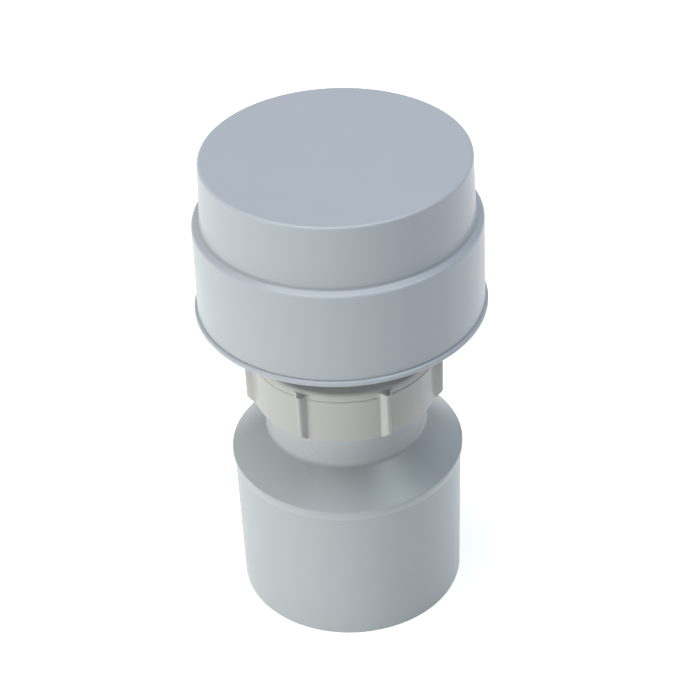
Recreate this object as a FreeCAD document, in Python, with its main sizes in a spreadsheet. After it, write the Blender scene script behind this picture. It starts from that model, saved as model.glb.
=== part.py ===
# Air admittance valve for a waste stack or branch: a two-step capped head on a threaded pipe adaptor.
# Units are millimetres, +Z is up, and the origin is the centre of the adaptor's lower rim.

import FreeCAD
import Part
import Sketcher
import math
import os

SIZES = {
    # Pipe adaptor: drafted socket, stepped brim, conical shoulder, collar and threaded neck.
    "socket_wall": 2.8,
    "socket_draft": 0.35,
    "pipe_radius": 31.5,
    "pipe_clearance": 0.1,
    "pipe_depth": 40.0,
    "pipe_stop_width": 1.5,
    "mouth_chamfer": 0.9,
    "brim_step": 0.6,
    "brim_height": 1.3,
    "brim_taper": 2.2,
    "brim_edge_round": 0.4,
    "pipe_stop_height": 9.6,
    "shoulder_rise": 8.7,
    "neck_foot_round": 1.8,
    "collar_step": 0.16,
    "collar_height": 11.3,
    "thread_length": 11.0,
    "neck_chamfer": 0.8,
    "neck_wall": 3.6,
    "spigot_stop_drop": 3.3,
    "spigot_stop_width": 2.3,
    "spigot_stop_depth": 2.4,
    "funnel_rise": 2.6,
    "seal_seat_depth": 4.4,
    "seal_seat_width": 2.0,
    # Union nut with its ribs, captive washer and cone seal.
    "thread_gap": 0.35,
    "nut_wall": 3.55,
    "nut_band_height": 2.4,
    "nut_band_taper": 0.5,
    "nut_foot_gap": 0.6,
    "nut_lip_thickness": 3.9,
    "nut_lip_gap": 0.6,
    "nut_mouth_depth": 1.2,
    "nut_mouth_step": 0.45,
    "nut_rib_count": 7,
    "nut_rib_width": 3.5,
    "nut_rib_depth": 3.4,
    "nut_rib_turn": 294.1,
    "nut_rib_round": 0.8,
    "nut_rib_slope": 3.2,
    "nut_rib_slope_gap": 0.2,
    "washer_thickness": 1.3,
    "washer_inset": 0.7,
    "washer_gap": 0.35,
    "washer_groove_gap": 0.3,
    "washer_hook_depth": 0.9,
    "washer_hook_height": 0.5,
    "seal_toe": 0.7,
    "seal_proud": 1.3,
    "seal_fit": 0.08,
    # Valve body: spigot, double seat, air intake, flange and snap rim.
    "spigot_radius": 20.0,
    "spigot_wall": 2.4,
    "spigot_clearance": 0.3,
    "spigot_chamfer": 0.8,
    "head_gap": 14.3,
    "flange_thickness": 1.6,
    "flange_proud": 0.9,
    "flange_round": 0.4,
    "seat_taper": 1.6,
    "seat_land": 1.0,
    "intake_width": 11.0,
    "intake_wall": 2.0,
    "body_rib_count": 8,
    "body_rib_thickness": 1.6,
    "body_rib_height": 10.0,
    "body_rib_gap": 4.3,
    "gusset_count": 12,
    "gusset_thickness": 1.4,
    "gusset_height": 6.5,
    "rim_gap": 3.4,
    "rim_height": 8.2,
    "rim_thickness": 3.2,
    "rim_chamfer": 0.5,
    "cap_fit": 0.15,
    "snap_offset": 1.9,
    "snap_height": 1.3,
    "snap_depth": 0.6,
    "snap_clearance": 0.12,
    "seal_groove_offset": 4.1,
    "seal_groove_height": 2.5,
    "ring_section": 2.1,
    "rib_overlap": 0.4,
    # Insect screen in the air intake.
    "screen_clearance": 0.15,
    "screen_hook": 0.35,
    "screen_hook_height": 0.5,
    "screen_rim": 1.1,
    "screen_rim_height": 2.4,
    "screen_thickness": 0.8,
    "slot_length": 2.0,
    "slot_width": 1.3,
    "slot_row_pitch": 2.6,
    "slot_count_inner": 36,
    "slot_count_middle": 40,
    "slot_count_outer": 44,
    # Lifting assembly: silicone diaphragm between carrier and clip.
    "diaphragm_inner_reach": 0.6,
    "diaphragm_outer_reach": 2.0,
    "diaphragm_thickness": 1.1,
    "carrier_inset": 2.5,
    "carrier_reach": 0.5,
    "carrier_thickness": 1.6,
    "carrier_lip_width": 1.4,
    "carrier_lip_height": 1.5,
    "spoke_count": 6,
    "spoke_width": 1.8,
    "spoke_height": 4.6,
    "spoke_shoulder": 6.0,
    "hub_radius": 5.2,
    "hub_height": 10.0,
    "stem_clearance": 0.05,
    "clip_width": 4.0,
    "clip_thickness": 1.4,
    "peg_radius": 1.25,
    "peg_clearance": 0.1,
    "peg_head_radius": 1.9,
    "peg_head_height": 0.8,
    "lift_travel": 5.0,
    "lift_margin": 0.2,
    # Cap: skirt, ledge and crown.
    "skirt_draft": 0.35,
    "skirt_edge": 0.4,
    "skirt_height": 27.4,
    "ledge_round": 0.9,
    "ledge_rise": 1.0,
    "ledge_fillet": 0.7,
    "ledge_width": 2.75,
    "crown_draft": 0.75,
    "crown_round": 0.8,
    "cap_wall": 2.2,
    "ceiling_round": 0.8,
    # Guide welded under the ceiling: stem, boss and ribs.
    "stem_radius": 2.8,
    "stem_length": 13.7,
    "stem_chamfer": 0.6,
    "boss_radius": 5.0,
    "boss_length": 11.9,
    "guide_rib_count": 6,
    "guide_rib_thickness": 1.4,
    "guide_rib_depth": 4.0,
    "guide_rib_margin": 2.25,
}


class Size:
    """A length together with the sheet expression that gives it."""

    def __init__(self, value, text):
        self.value = float(value)
        self.text = text

    def __add__(self, other):
        other = as_size(other)
        return Size(self.value + other.value, "(%s + %s)" % (self.text, other.text))

    def __sub__(self, other):
        other = as_size(other)
        return Size(self.value - other.value, "(%s - %s)" % (self.text, other.text))

    def __mul__(self, other):
        other = as_size(other)
        return Size(self.value * other.value, "(%s * %s)" % (self.text, other.text))

    def __truediv__(self, other):
        other = as_size(other)
        return Size(self.value / other.value, "(%s / %s)" % (self.text, other.text))


def as_size(number):
    if isinstance(number, Size):
        return number
    return Size(number, repr(float(number)))


ZERO = Size(0.0, "0")

doc = FreeCAD.newDocument("air_admittance_valve")


def make_sheet():
    """One cell for each named value."""
    sheet = doc.addObject("Spreadsheet::Sheet", "sizes")
    for row, (name, number) in enumerate(SIZES.items(), start=1):
        sheet.set("A%d" % row, name)
        sheet.set("B%d" % row, str(number))
        sheet.setAlias("B%d" % row, name)
    doc.recompute()


def cell(name):
    """A named value, tied to its cell."""
    return Size(SIZES[name], "sizes." + name)


def new_body(name):
    body = doc.addObject("PartDesign::Body", name)
    body.Label = name
    return body


def datum(body, role):
    for feature in body.Origin.OriginFeatures:
        if feature.Role == role:
            return feature
    raise ValueError(role)


def new_sketch(body, name, role, lift=None, turn=None):
    """An empty sketch on one of the body's own planes, raised and turned if asked."""
    sketch = body.newObject("Sketcher::SketchObject", name)
    sketch.AttachmentSupport = [(datum(body, role), "")]
    sketch.MapMode = "FlatFace"
    if lift is not None:
        sketch.AttachmentOffset = FreeCAD.Placement(FreeCAD.Vector(0, 0, lift.value), FreeCAD.Rotation())
        sketch.setExpression("AttachmentOffset.Base.z", lift.text)
    if turn is not None:
        base = sketch.AttachmentOffset.Base
        axis = FreeCAD.Vector(0, 0, 1)
        sketch.AttachmentOffset = FreeCAD.Placement(base, FreeCAD.Rotation(axis, turn.value))
        sketch.setExpression("AttachmentOffset.Rotation.Angle", turn.text)
    return sketch


def pin_point(sketch, geometry, end, across, along):
    """Hold a point at its two coordinates."""
    if across.text == "0":
        sketch.addConstraint(Sketcher.Constraint("PointOnObject", geometry, end, -2))
    else:
        index = sketch.addConstraint(Sketcher.Constraint("DistanceX", geometry, end, across.value))
        sketch.setExpression("Constraints[%d]" % index, across.text)
    if along.text == "0":
        sketch.addConstraint(Sketcher.Constraint("PointOnObject", geometry, end, -1))
    else:
        index = sketch.addConstraint(Sketcher.Constraint("DistanceY", geometry, end, along.value))
        sketch.setExpression("Constraints[%d]" % index, along.text)


def rounding(before, corner, after, radius):
    """Tangent points and arc of a rounded corner, as plain numbers."""
    to_before = (before - corner).normalize()
    to_after = (after - corner).normalize()
    half = to_before.getAngle(to_after) / 2.0
    reach = radius / math.tan(half)
    start = corner + to_before * reach
    finish = corner + to_after * reach
    centre = corner + (to_before + to_after).normalize() * (radius / math.sin(half))
    middle = centre + (corner - centre).normalize() * radius
    return start, finish, Part.Arc(start, middle, finish), centre


def draw_outline(sketch, corners):
    """Closed outline of straight edges; a corner with a third entry is rounded by that radius."""
    points = [FreeCAD.Vector(c[0].value, c[1].value, 0) for c in corners]
    count = len(corners)
    starts = list(points)
    ends = list(points)
    arcs = {}
    for i, corner in enumerate(corners):
        if len(corner) == 3:
            start, finish, arc, centre = rounding(points[i - 1], points[i], points[(i + 1) % count],
                                                  corner[2].value)
            ends[i] = start
            starts[i] = finish
            arcs[i] = (arc, start, centre)
    lines = []
    for i in range(count):
        lines.append(sketch.addGeometry(Part.LineSegment(starts[i], ends[(i + 1) % count]), False))
    for i, corner in enumerate(corners):
        before = lines[i - 1]
        after = lines[i]
        if i not in arcs:
            sketch.addConstraint(Sketcher.Constraint("Coincident", before, 2, after, 1))
            pin_point(sketch, after, 1, corner[0], corner[1])
            continue
        arc, start, centre = arcs[i]
        bend = sketch.addGeometry(arc, False)
        head = sketch.getPoint(bend, 1)
        near, far = (1, 2) if head.distanceToPoint(start) < 1e-4 else (2, 1)
        sketch.addConstraint(Sketcher.Constraint("Tangent", before, 2, bend, near))
        sketch.addConstraint(Sketcher.Constraint("Tangent", bend, far, after, 1))
        index = sketch.addConstraint(Sketcher.Constraint("Radius", bend, corner[2].value))
        sketch.setExpression("Constraints[%d]" % index, corner[2].text)
        mark = sketch.addGeometry(Part.Point(points[i]), True)
        sketch.addConstraint(Sketcher.Constraint("PointOnObject", mark, 1, before))
        sketch.addConstraint(Sketcher.Constraint("PointOnObject", mark, 1, after))
        pin_point(sketch, mark, 1, corner[0], corner[1])


def revolve(body, name, corners, cut=False):
    """Turn a radius-height outline about the vertical axis, as material or as a groove."""
    sketch = new_sketch(body, name + "_outline", "XZ_Plane")
    draw_outline(sketch, corners)
    kind = "PartDesign::Groove" if cut else "PartDesign::Revolution"
    feature = body.newObject(kind, name)
    feature.Profile = sketch
    feature.ReferenceAxis = (sketch, ["V_Axis"])
    feature.Angle = 360.0
    doc.recompute()
    return feature


def radial_plate(body, name, corners, thickness):
    """A plate standing on a radius, of the given thickness across it."""
    sketch = new_sketch(body, name + "_outline", "XZ_Plane")
    draw_outline(sketch, corners)
    feature = body.newObject("PartDesign::Pad", name)
    feature.Profile = sketch
    feature.Midplane = True
    feature.Length = thickness.value
    feature.setExpression("Length", thickness.text)
    doc.recompute()
    return feature


def upright(body, name, corners, foot, height, turn=None):
    """A prism on a horizontal outline."""
    sketch = new_sketch(body, name + "_outline", "XY_Plane", foot, turn)
    draw_outline(sketch, corners)
    feature = body.newObject("PartDesign::Pad", name)
    feature.Profile = sketch
    feature.Length = height.value
    feature.setExpression("Length", height.text)
    doc.recompute()
    return feature


def round_sketch(body, name, centre, radius, foot):
    """A horizontal circle on the X axis."""
    sketch = new_sketch(body, name + "_circle", "XY_Plane", foot)
    middle = FreeCAD.Vector(centre.value, 0, 0)
    ring = sketch.addGeometry(Part.Circle(middle, FreeCAD.Vector(0, 0, 1), radius.value), False)
    pin_point(sketch, ring, 3, centre, ZERO)
    index = sketch.addConstraint(Sketcher.Constraint("Radius", ring, radius.value))
    sketch.setExpression("Constraints[%d]" % index, radius.text)
    return sketch


def peg(body, name, centre, radius, foot, height):
    feature = body.newObject("PartDesign::Pad", name)
    feature.Profile = round_sketch(body, name, centre, radius, foot)
    feature.Length = height.value
    feature.setExpression("Length", height.text)
    doc.recompute()
    return feature


def hole(body, name, centre, radius, foot):
    """A round hole through everything, both ways from its plane."""
    feature = body.newObject("PartDesign::Pocket", name)
    feature.Profile = round_sketch(body, name, centre, radius, foot)
    feature.Type = 1
    feature.Midplane = True
    doc.recompute()
    return feature


def around(body, name, features, count):
    """Repeat features evenly around the vertical axis."""
    pattern = body.newObject("PartDesign::PolarPattern", name)
    pattern.Originals = features
    pattern.Axis = (datum(body, "Z_Axis"), [""])
    pattern.Angle = 360.0
    pattern.Occurrences = int(count.value)
    pattern.setExpression("Occurrences", count.text)
    body.Tip = pattern
    doc.recompute()
    return pattern


# Shared heights and radii, each built from the named values.

PIPE_BORE = cell("pipe_radius") + cell("pipe_clearance")
SOCKET_RADIUS = PIPE_BORE + cell("socket_wall")
BRIM_FOOT = SOCKET_RADIUS + cell("socket_draft")
BRIM_RADIUS = BRIM_FOOT + cell("brim_step")
SHOULDER = cell("pipe_depth") + cell("pipe_stop_height")
NECK_FOOT = SHOULDER + cell("shoulder_rise")
SPIGOT_STOP = NECK_FOOT - cell("spigot_stop_drop")
COLLAR_TOP = NECK_FOOT + cell("collar_height")
NECK_TOP = COLLAR_TOP + cell("thread_length")
NECK_BORE = cell("spigot_radius") + cell("spigot_clearance")
THREAD_RADIUS = NECK_BORE + cell("neck_wall")
COLLAR_RADIUS = THREAD_RADIUS + cell("collar_step")
SEAL_SEAT_RADIUS = NECK_BORE + cell("seal_seat_width")
NUT_FOOT = COLLAR_TOP + cell("nut_foot_gap")
WASHER_UNDER = NECK_TOP + cell("seal_proud")
LIP_UNDER = WASHER_UNDER + cell("washer_thickness")
NUT_TOP = LIP_UNDER + cell("nut_lip_thickness")
NUT_BORE = THREAD_RADIUS + cell("thread_gap")
NUT_RADIUS = NUT_BORE + cell("nut_wall")
WASHER_RADIUS = THREAD_RADIUS - cell("washer_inset")
SPIGOT_BORE = cell("spigot_radius") - cell("spigot_wall")
FLANGE_FOOT = NUT_TOP + cell("head_gap")
FLANGE_TOP = FLANGE_FOOT + cell("flange_thickness")
SCREEN_FOOT = FLANGE_FOOT + cell("screen_hook_height")
SCREEN_TOP = SCREEN_FOOT + cell("screen_rim_height")
RIB_TOP = SCREEN_TOP + cell("body_rib_height")
CLIP_FOOT = RIB_TOP + cell("body_rib_gap")
SEAT = CLIP_FOOT + cell("clip_thickness")
INTAKE_INNER = cell("spigot_radius") + cell("intake_width")
INTAKE_OUTER = INTAKE_INNER + cell("intake_wall")
RIM_INNER = INTAKE_OUTER + cell("rim_gap")
RIM_RADIUS = RIM_INNER + cell("rim_thickness")
RIM_TOP = FLANGE_TOP + cell("rim_height")
SKIRT_INNER = RIM_RADIUS + cell("cap_fit")
SKIRT_RADIUS = SKIRT_INNER + cell("cap_wall")
FLANGE_RADIUS = SKIRT_RADIUS + cell("flange_proud")
SNAP_LOW = FLANGE_TOP + cell("snap_offset") - cell("snap_height") / 2
SNAP_HIGH = FLANGE_TOP + cell("snap_offset") + cell("snap_height") / 2
GROOVE_LOW = FLANGE_TOP + cell("seal_groove_offset")
GROOVE_HIGH = GROOVE_LOW + cell("seal_groove_height")
GROOVE_FLOOR = SKIRT_INNER - cell("ring_section")
DIAPHRAGM_TOP = SEAT + cell("diaphragm_thickness")
CARRIER_TOP = DIAPHRAGM_TOP + cell("carrier_thickness")
CARRIER_INNER = cell("spigot_radius") + cell("carrier_inset")
CARRIER_OUTER = INTAKE_INNER + cell("carrier_reach")
PEG_CIRCLE = (CARRIER_INNER + CARRIER_OUTER - cell("carrier_lip_width")) / 2
HUB_TOP = DIAPHRAGM_TOP + cell("hub_height")
STEM_ROOT = HUB_TOP + cell("lift_travel") + cell("lift_margin")
CEILING = STEM_ROOT + cell("boss_length")
CAP_TOP = CEILING + cell("cap_wall")
SKIRT_TOP = FLANGE_TOP + cell("skirt_height")
SKIRT_TOP_RADIUS = SKIRT_RADIUS - cell("skirt_draft")
LEDGE_TOP = SKIRT_TOP + cell("ledge_rise")
CROWN_RADIUS = SKIRT_RADIUS - cell("ledge_width")
CROWN_TOP_RADIUS = CROWN_RADIUS - cell("crown_draft")


def make_base_adaptor():
    """Socket for the waste pipe, conical shoulder, collar and neck, all one moulding."""
    body = new_body("base_adaptor")
    stop = NECK_BORE - cell("spigot_stop_width")
    pipe_stop = PIPE_BORE - cell("pipe_stop_width")
    revolve(body, "shell", [
        (PIPE_BORE + cell("mouth_chamfer"), ZERO),
        (SOCKET_RADIUS, ZERO),
        (BRIM_FOOT, SHOULDER - cell("brim_height") - cell("brim_taper")),
        (BRIM_RADIUS, SHOULDER - cell("brim_height")),
        (BRIM_RADIUS, SHOULDER, cell("brim_edge_round")),
        (COLLAR_RADIUS, NECK_FOOT, cell("neck_foot_round")),
        (COLLAR_RADIUS, COLLAR_TOP),
        (THREAD_RADIUS, COLLAR_TOP),
        (THREAD_RADIUS, NECK_TOP - cell("neck_chamfer")),
        (THREAD_RADIUS - cell("neck_chamfer"), NECK_TOP),
        (SEAL_SEAT_RADIUS, NECK_TOP),
        (NECK_BORE, NECK_TOP - cell("seal_seat_depth")),
        (NECK_BORE, SPIGOT_STOP),
        (stop, SPIGOT_STOP),
        (stop, SPIGOT_STOP - cell("spigot_stop_depth")),
        (pipe_stop, SPIGOT_STOP - cell("spigot_stop_depth") - cell("funnel_rise")),
        (pipe_stop, cell("pipe_depth")),
        (PIPE_BORE, cell("pipe_depth")),
        (PIPE_BORE, cell("mouth_chamfer")),
    ])


def make_union_nut():
    """Closed-end nut: inner lip above, washer groove, thread bore and open mouth below."""
    body = new_body("union_nut")
    lip_bore = cell("spigot_radius") + cell("nut_lip_gap")
    groove = WASHER_RADIUS + cell("washer_groove_gap")
    hook = WASHER_RADIUS + cell("washer_groove_gap") - cell("washer_hook_depth")
    hook_high = WASHER_UNDER - cell("washer_groove_gap")
    mouth = NUT_BORE + cell("nut_mouth_step")
    revolve(body, "shell", [
        (mouth, NUT_FOOT),
        (NUT_RADIUS, NUT_FOOT),
        (NUT_RADIUS, NUT_TOP - cell("nut_band_height")),
        (NUT_RADIUS - cell("nut_band_taper"), NUT_TOP),
        (lip_bore, NUT_TOP),
        (lip_bore, LIP_UNDER),
        (groove, LIP_UNDER),
        (groove, hook_high),
        (hook, hook_high),
        (hook, hook_high - cell("washer_hook_height")),
        (NUT_BORE, hook_high - cell("washer_hook_height")),
        (NUT_BORE, NUT_FOOT + cell("nut_mouth_depth")),
        (mouth, NUT_FOOT + cell("nut_mouth_depth")),
    ])
    half = cell("nut_rib_width") / 2
    root = NUT_RADIUS - cell("rib_overlap")
    rib = upright(body, "rib", [
        (root, ZERO - half),
        (NUT_RADIUS + cell("nut_rib_depth"), ZERO, cell("nut_rib_round")),
        (root, half),
    ], NUT_FOOT, NUT_TOP - NUT_FOOT - cell("nut_band_height"), cell("nut_rib_turn"))
    around(body, "ribs", [rib], cell("nut_rib_count"))
    low = NUT_FOOT - cell("nut_rib_slope_gap")
    reach = NUT_RADIUS + cell("nut_rib_slope")
    revolve(body, "rib_slopes", [
        (NUT_RADIUS + cell("nut_rib_slope_gap"), low),
        (reach, low),
        (reach, low + cell("nut_rib_slope") - cell("nut_rib_slope_gap")),
    ], cut=True)


def make_slip_washer():
    """Flat slip ring held under the nut's lip, between nut and seal."""
    body = new_body("slip_washer")
    bore = cell("spigot_radius") + cell("washer_gap")
    revolve(body, "ring", [
        (bore, WASHER_UNDER),
        (WASHER_RADIUS, WASHER_UNDER),
        (WASHER_RADIUS, LIP_UNDER),
        (bore, LIP_UNDER),
    ])


def make_cone_seal():
    """Rubber ring squeezed between the neck's conical seat and the spigot."""
    body = new_body("cone_seal")
    foot = NECK_TOP - cell("seal_seat_depth") + cell("seal_toe")
    foot_radius = NECK_BORE + cell("seal_toe") * cell("seal_seat_width") / cell("seal_seat_depth")
    fit = cell("seal_fit")
    revolve(body, "ring", [
        (cell("spigot_radius") + fit, foot),
        (foot_radius - fit, foot),
        (SEAL_SEAT_RADIUS - fit, NECK_TOP),
        (SEAL_SEAT_RADIUS - fit, WASHER_UNDER),
        (cell("spigot_radius") + fit, WASHER_UNDER),
    ])


def make_valve_body():
    """Spigot with the inner seat, intake wall with the outer seat, flange and snap rim."""
    body = new_body("valve_body")
    low = FLANGE_FOOT
    seat = SEAT
    neck = seat - cell("seat_taper")
    inset = (cell("spigot_wall") - cell("seat_land")) / 2
    wall_inset = (cell("intake_wall") - cell("seat_land")) / 2
    revolve(body, "spigot", [
        (SPIGOT_BORE, SPIGOT_STOP),
        (cell("spigot_radius") - cell("spigot_chamfer"), SPIGOT_STOP),
        (cell("spigot_radius"), SPIGOT_STOP + cell("spigot_chamfer")),
        (cell("spigot_radius"), neck),
        (cell("spigot_radius") - inset, seat),
        (SPIGOT_BORE + inset, seat),
        (SPIGOT_BORE, neck),
    ])
    rib = radial_plate(body, "rib", [
        (cell("spigot_radius") - cell("rib_overlap"), SCREEN_TOP),
        (INTAKE_INNER + cell("rib_overlap"), SCREEN_TOP),
        (INTAKE_INNER + cell("rib_overlap"), RIB_TOP),
        (cell("spigot_radius") - cell("rib_overlap"), RIB_TOP),
    ], cell("body_rib_thickness"))
    around(body, "ribs", [rib], cell("body_rib_count"))
    revolve(body, "housing", [
        (INTAKE_INNER - cell("screen_hook"), low),
        (FLANGE_RADIUS, low, cell("flange_round")),
        (FLANGE_RADIUS, FLANGE_TOP, cell("flange_round")),
        (RIM_RADIUS, FLANGE_TOP),
        (RIM_RADIUS, SNAP_LOW - cell("snap_clearance")),
        (RIM_RADIUS - cell("snap_depth"), SNAP_LOW - cell("snap_clearance")),
        (RIM_RADIUS - cell("snap_depth"), SNAP_HIGH + cell("snap_clearance")),
        (RIM_RADIUS, SNAP_HIGH + cell("snap_clearance")),
        (RIM_RADIUS, GROOVE_LOW),
        (GROOVE_FLOOR, GROOVE_LOW),
        (GROOVE_FLOOR, GROOVE_HIGH),
        (RIM_RADIUS, GROOVE_HIGH),
        (RIM_RADIUS, RIM_TOP - cell("rim_chamfer")),
        (RIM_RADIUS - cell("rim_chamfer"), RIM_TOP),
        (RIM_INNER, RIM_TOP),
        (RIM_INNER, FLANGE_TOP),
        (INTAKE_OUTER, FLANGE_TOP),
        (INTAKE_OUTER, neck),
        (INTAKE_OUTER - wall_inset, seat),
        (INTAKE_INNER + wall_inset, seat),
        (INTAKE_INNER, neck),
        (INTAKE_INNER, SCREEN_FOOT),
        (INTAKE_INNER - cell("screen_hook"), SCREEN_FOOT),
    ])
    gusset = radial_plate(body, "gusset", [
        (INTAKE_OUTER - cell("rib_overlap"), FLANGE_TOP - cell("rib_overlap")),
        (RIM_INNER + cell("rib_overlap"), FLANGE_TOP - cell("rib_overlap")),
        (RIM_INNER + cell("rib_overlap"), FLANGE_TOP + cell("gusset_height") / 2),
        (INTAKE_OUTER - cell("rib_overlap"), FLANGE_TOP + cell("gusset_height")),
    ], cell("gusset_thickness"))
    around(body, "gussets", [gusset], cell("gusset_count"))


def make_insect_screen():
    """Slotted plate with an inner and an outer rim, snapped into the air intake from below."""
    body = new_body("insect_screen")
    inner = cell("spigot_radius") + cell("screen_clearance")
    outer = INTAKE_INNER - cell("screen_clearance")
    plate = SCREEN_TOP - cell("screen_thickness")
    revolve(body, "plate", [
        (inner, SCREEN_FOOT),
        (inner + cell("screen_rim"), SCREEN_FOOT),
        (inner + cell("screen_rim"), plate),
        (outer - cell("screen_rim"), plate),
        (outer - cell("screen_rim"), SCREEN_FOOT),
        (outer, SCREEN_FOOT),
        (outer, SCREEN_TOP),
        (inner, SCREEN_TOP),
    ])
    middle = (inner + outer) / 2
    rows = [
        ("inner_row", middle - cell("slot_row_pitch"), cell("slot_count_inner")),
        ("middle_row", middle, cell("slot_count_middle")),
        ("outer_row", middle + cell("slot_row_pitch"), cell("slot_count_outer")),
    ]
    half_length = cell("slot_length") / 2
    half_width = cell("slot_width") / 2
    for name, radius, count in rows:
        sketch = new_sketch(body, name + "_outline", "XY_Plane", SCREEN_TOP)
        draw_outline(sketch, [
            (radius - half_length, ZERO - half_width),
            (radius + half_length, ZERO - half_width),
            (radius + half_length, half_width),
            (radius - half_length, half_width),
        ])
        slot = body.newObject("PartDesign::Pocket", name + "_slot")
        slot.Profile = sketch
        slot.Type = 0
        depth = cell("screen_thickness") + cell("rib_overlap")
        slot.Length = depth.value
        slot.setExpression("Length", depth.text)
        doc.recompute()
        around(body, name, [slot], count)


def make_diaphragm():
    """Flat silicone ring lying on both seats, with holes for the clip's pegs."""
    body = new_body("diaphragm")
    revolve(body, "ring", [
        (SPIGOT_BORE - cell("diaphragm_inner_reach"), SEAT),
        (INTAKE_OUTER + cell("diaphragm_outer_reach"), SEAT),
        (INTAKE_OUTER + cell("diaphragm_outer_reach"), DIAPHRAGM_TOP),
        (SPIGOT_BORE - cell("diaphragm_inner_reach"), DIAPHRAGM_TOP),
    ])
    bore = cell("peg_radius") + cell("peg_clearance")
    opening = hole(body, "peg_hole", PEG_CIRCLE, bore, SEAT)
    around(body, "peg_holes", [opening], cell("spoke_count"))


def make_diaphragm_carrier():
    """Stiff ring on top of the diaphragm, with spokes to a hub that slides on the guide's stem."""
    body = new_body("diaphragm_carrier")
    bore = cell("stem_radius") + cell("stem_clearance")
    lip = CARRIER_OUTER - cell("carrier_lip_width")
    revolve(body, "ring", [
        (CARRIER_INNER, DIAPHRAGM_TOP),
        (CARRIER_OUTER, DIAPHRAGM_TOP),
        (CARRIER_OUTER, CARRIER_TOP + cell("carrier_lip_height")),
        (lip, CARRIER_TOP + cell("carrier_lip_height")),
        (lip, CARRIER_TOP),
        (CARRIER_INNER, CARRIER_TOP),
    ])
    spoke = radial_plate(body, "spoke", [
        (cell("hub_radius") - cell("rib_overlap"), DIAPHRAGM_TOP),
        (CARRIER_INNER + cell("rib_overlap"), DIAPHRAGM_TOP),
        (CARRIER_INNER + cell("rib_overlap"), CARRIER_TOP),
        (cell("hub_radius") + cell("spoke_shoulder"), DIAPHRAGM_TOP + cell("spoke_height")),
        (cell("hub_radius") - cell("rib_overlap"), DIAPHRAGM_TOP + cell("spoke_height")),
    ], cell("spoke_width"))
    around(body, "spokes", [spoke], cell("spoke_count"))
    revolve(body, "hub", [
        (bore, DIAPHRAGM_TOP),
        (cell("hub_radius"), DIAPHRAGM_TOP),
        (cell("hub_radius"), HUB_TOP),
        (bore, HUB_TOP),
    ])
    groove = cell("peg_radius") + cell("peg_clearance")
    opening = hole(body, "peg_hole", PEG_CIRCLE, groove, DIAPHRAGM_TOP)
    around(body, "peg_holes", [opening], cell("spoke_count"))


def make_diaphragm_clip():
    """Ring below the diaphragm whose pegs pass through it and are staked over the carrier."""
    body = new_body("diaphragm_clip")
    centre = PEG_CIRCLE
    half = cell("clip_width") / 2
    foot = CLIP_FOOT
    revolve(body, "ring", [
        (centre - half, foot),
        (centre + half, foot),
        (centre + half, SEAT),
        (centre - half, SEAT),
    ])
    shank = peg(body, "shank", centre, cell("peg_radius"), foot,
                cell("clip_thickness") + cell("diaphragm_thickness") + cell("carrier_thickness"))
    around(body, "shanks", [shank], cell("spoke_count"))
    head = peg(body, "head", centre, cell("peg_head_radius"), CARRIER_TOP, cell("peg_head_height"))
    around(body, "heads", [head], cell("spoke_count"))


def make_cap_seal():
    """Rubber ring in the rim's groove, closing the joint between rim and cap."""
    body = new_body("cap_seal")
    fit = cell("seal_fit")
    inner = GROOVE_FLOOR + fit
    outer = GROOVE_FLOOR + cell("ring_section") - fit
    soft = cell("ring_section") / 3
    revolve(body, "ring", [
        (inner, GROOVE_LOW + fit, soft),
        (outer, GROOVE_LOW + fit, soft),
        (outer, GROOVE_HIGH - fit, soft),
        (inner, GROOVE_HIGH - fit, soft),
    ])


def make_cap():
    """Two-step cap, one thin moulding: skirt with its snap bead, ledge, crown and flat top."""
    body = new_body("cap")
    wall = cell("cap_wall")
    skirt = SKIRT_RADIUS
    edge = cell("skirt_edge")
    revolve(body, "shell", [
        (SKIRT_INNER + edge, FLANGE_TOP),
        (skirt - edge, FLANGE_TOP),
        (skirt, FLANGE_TOP + edge),
        (SKIRT_TOP_RADIUS, SKIRT_TOP, cell("ledge_round")),
        (CROWN_RADIUS, LEDGE_TOP, cell("ledge_fillet")),
        (CROWN_TOP_RADIUS, CAP_TOP, cell("crown_round")),
        (ZERO, CAP_TOP),
        (ZERO, CEILING),
        (CROWN_TOP_RADIUS - wall, CEILING, cell("ceiling_round")),
        (CROWN_RADIUS - wall, LEDGE_TOP - wall),
        (SKIRT_TOP_RADIUS - wall, SKIRT_TOP - wall),
        (SKIRT_INNER, SNAP_HIGH + cell("snap_height")),
        (SKIRT_INNER, SNAP_HIGH),
        (SKIRT_INNER - cell("snap_depth"), SNAP_HIGH - cell("snap_height") / 3),
        (SKIRT_INNER - cell("snap_depth"), SNAP_LOW + cell("snap_height") / 3),
        (SKIRT_INNER, SNAP_LOW),
        (SKIRT_INNER, FLANGE_TOP + edge),
    ])


def make_stem_guide():
    """Guide for the lifting seal: stem and boss on a six-armed spider, welded under the ceiling."""
    body = new_body("stem_guide")
    boss = cell("boss_radius")
    stem = cell("stem_radius")
    tip = STEM_ROOT - cell("stem_length")
    revolve(body, "stem", [
        (ZERO, CEILING),
        (ZERO, tip),
        (stem - cell("stem_chamfer"), tip),
        (stem, tip + cell("stem_chamfer")),
        (stem, STEM_ROOT),
        (boss, STEM_ROOT),
        (boss, CEILING),
    ])
    reach = CROWN_TOP_RADIUS - cell("cap_wall") - cell("guide_rib_margin")
    rib = radial_plate(body, "guide_rib", [
        (boss - cell("rib_overlap"), CEILING - cell("guide_rib_depth")),
        (reach - cell("guide_rib_depth"), CEILING - cell("guide_rib_depth")),
        (reach, CEILING),
        (boss - cell("rib_overlap"), CEILING),
    ], cell("guide_rib_thickness"))
    around(body, "guide_ribs", [rib], cell("guide_rib_count"))


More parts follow.
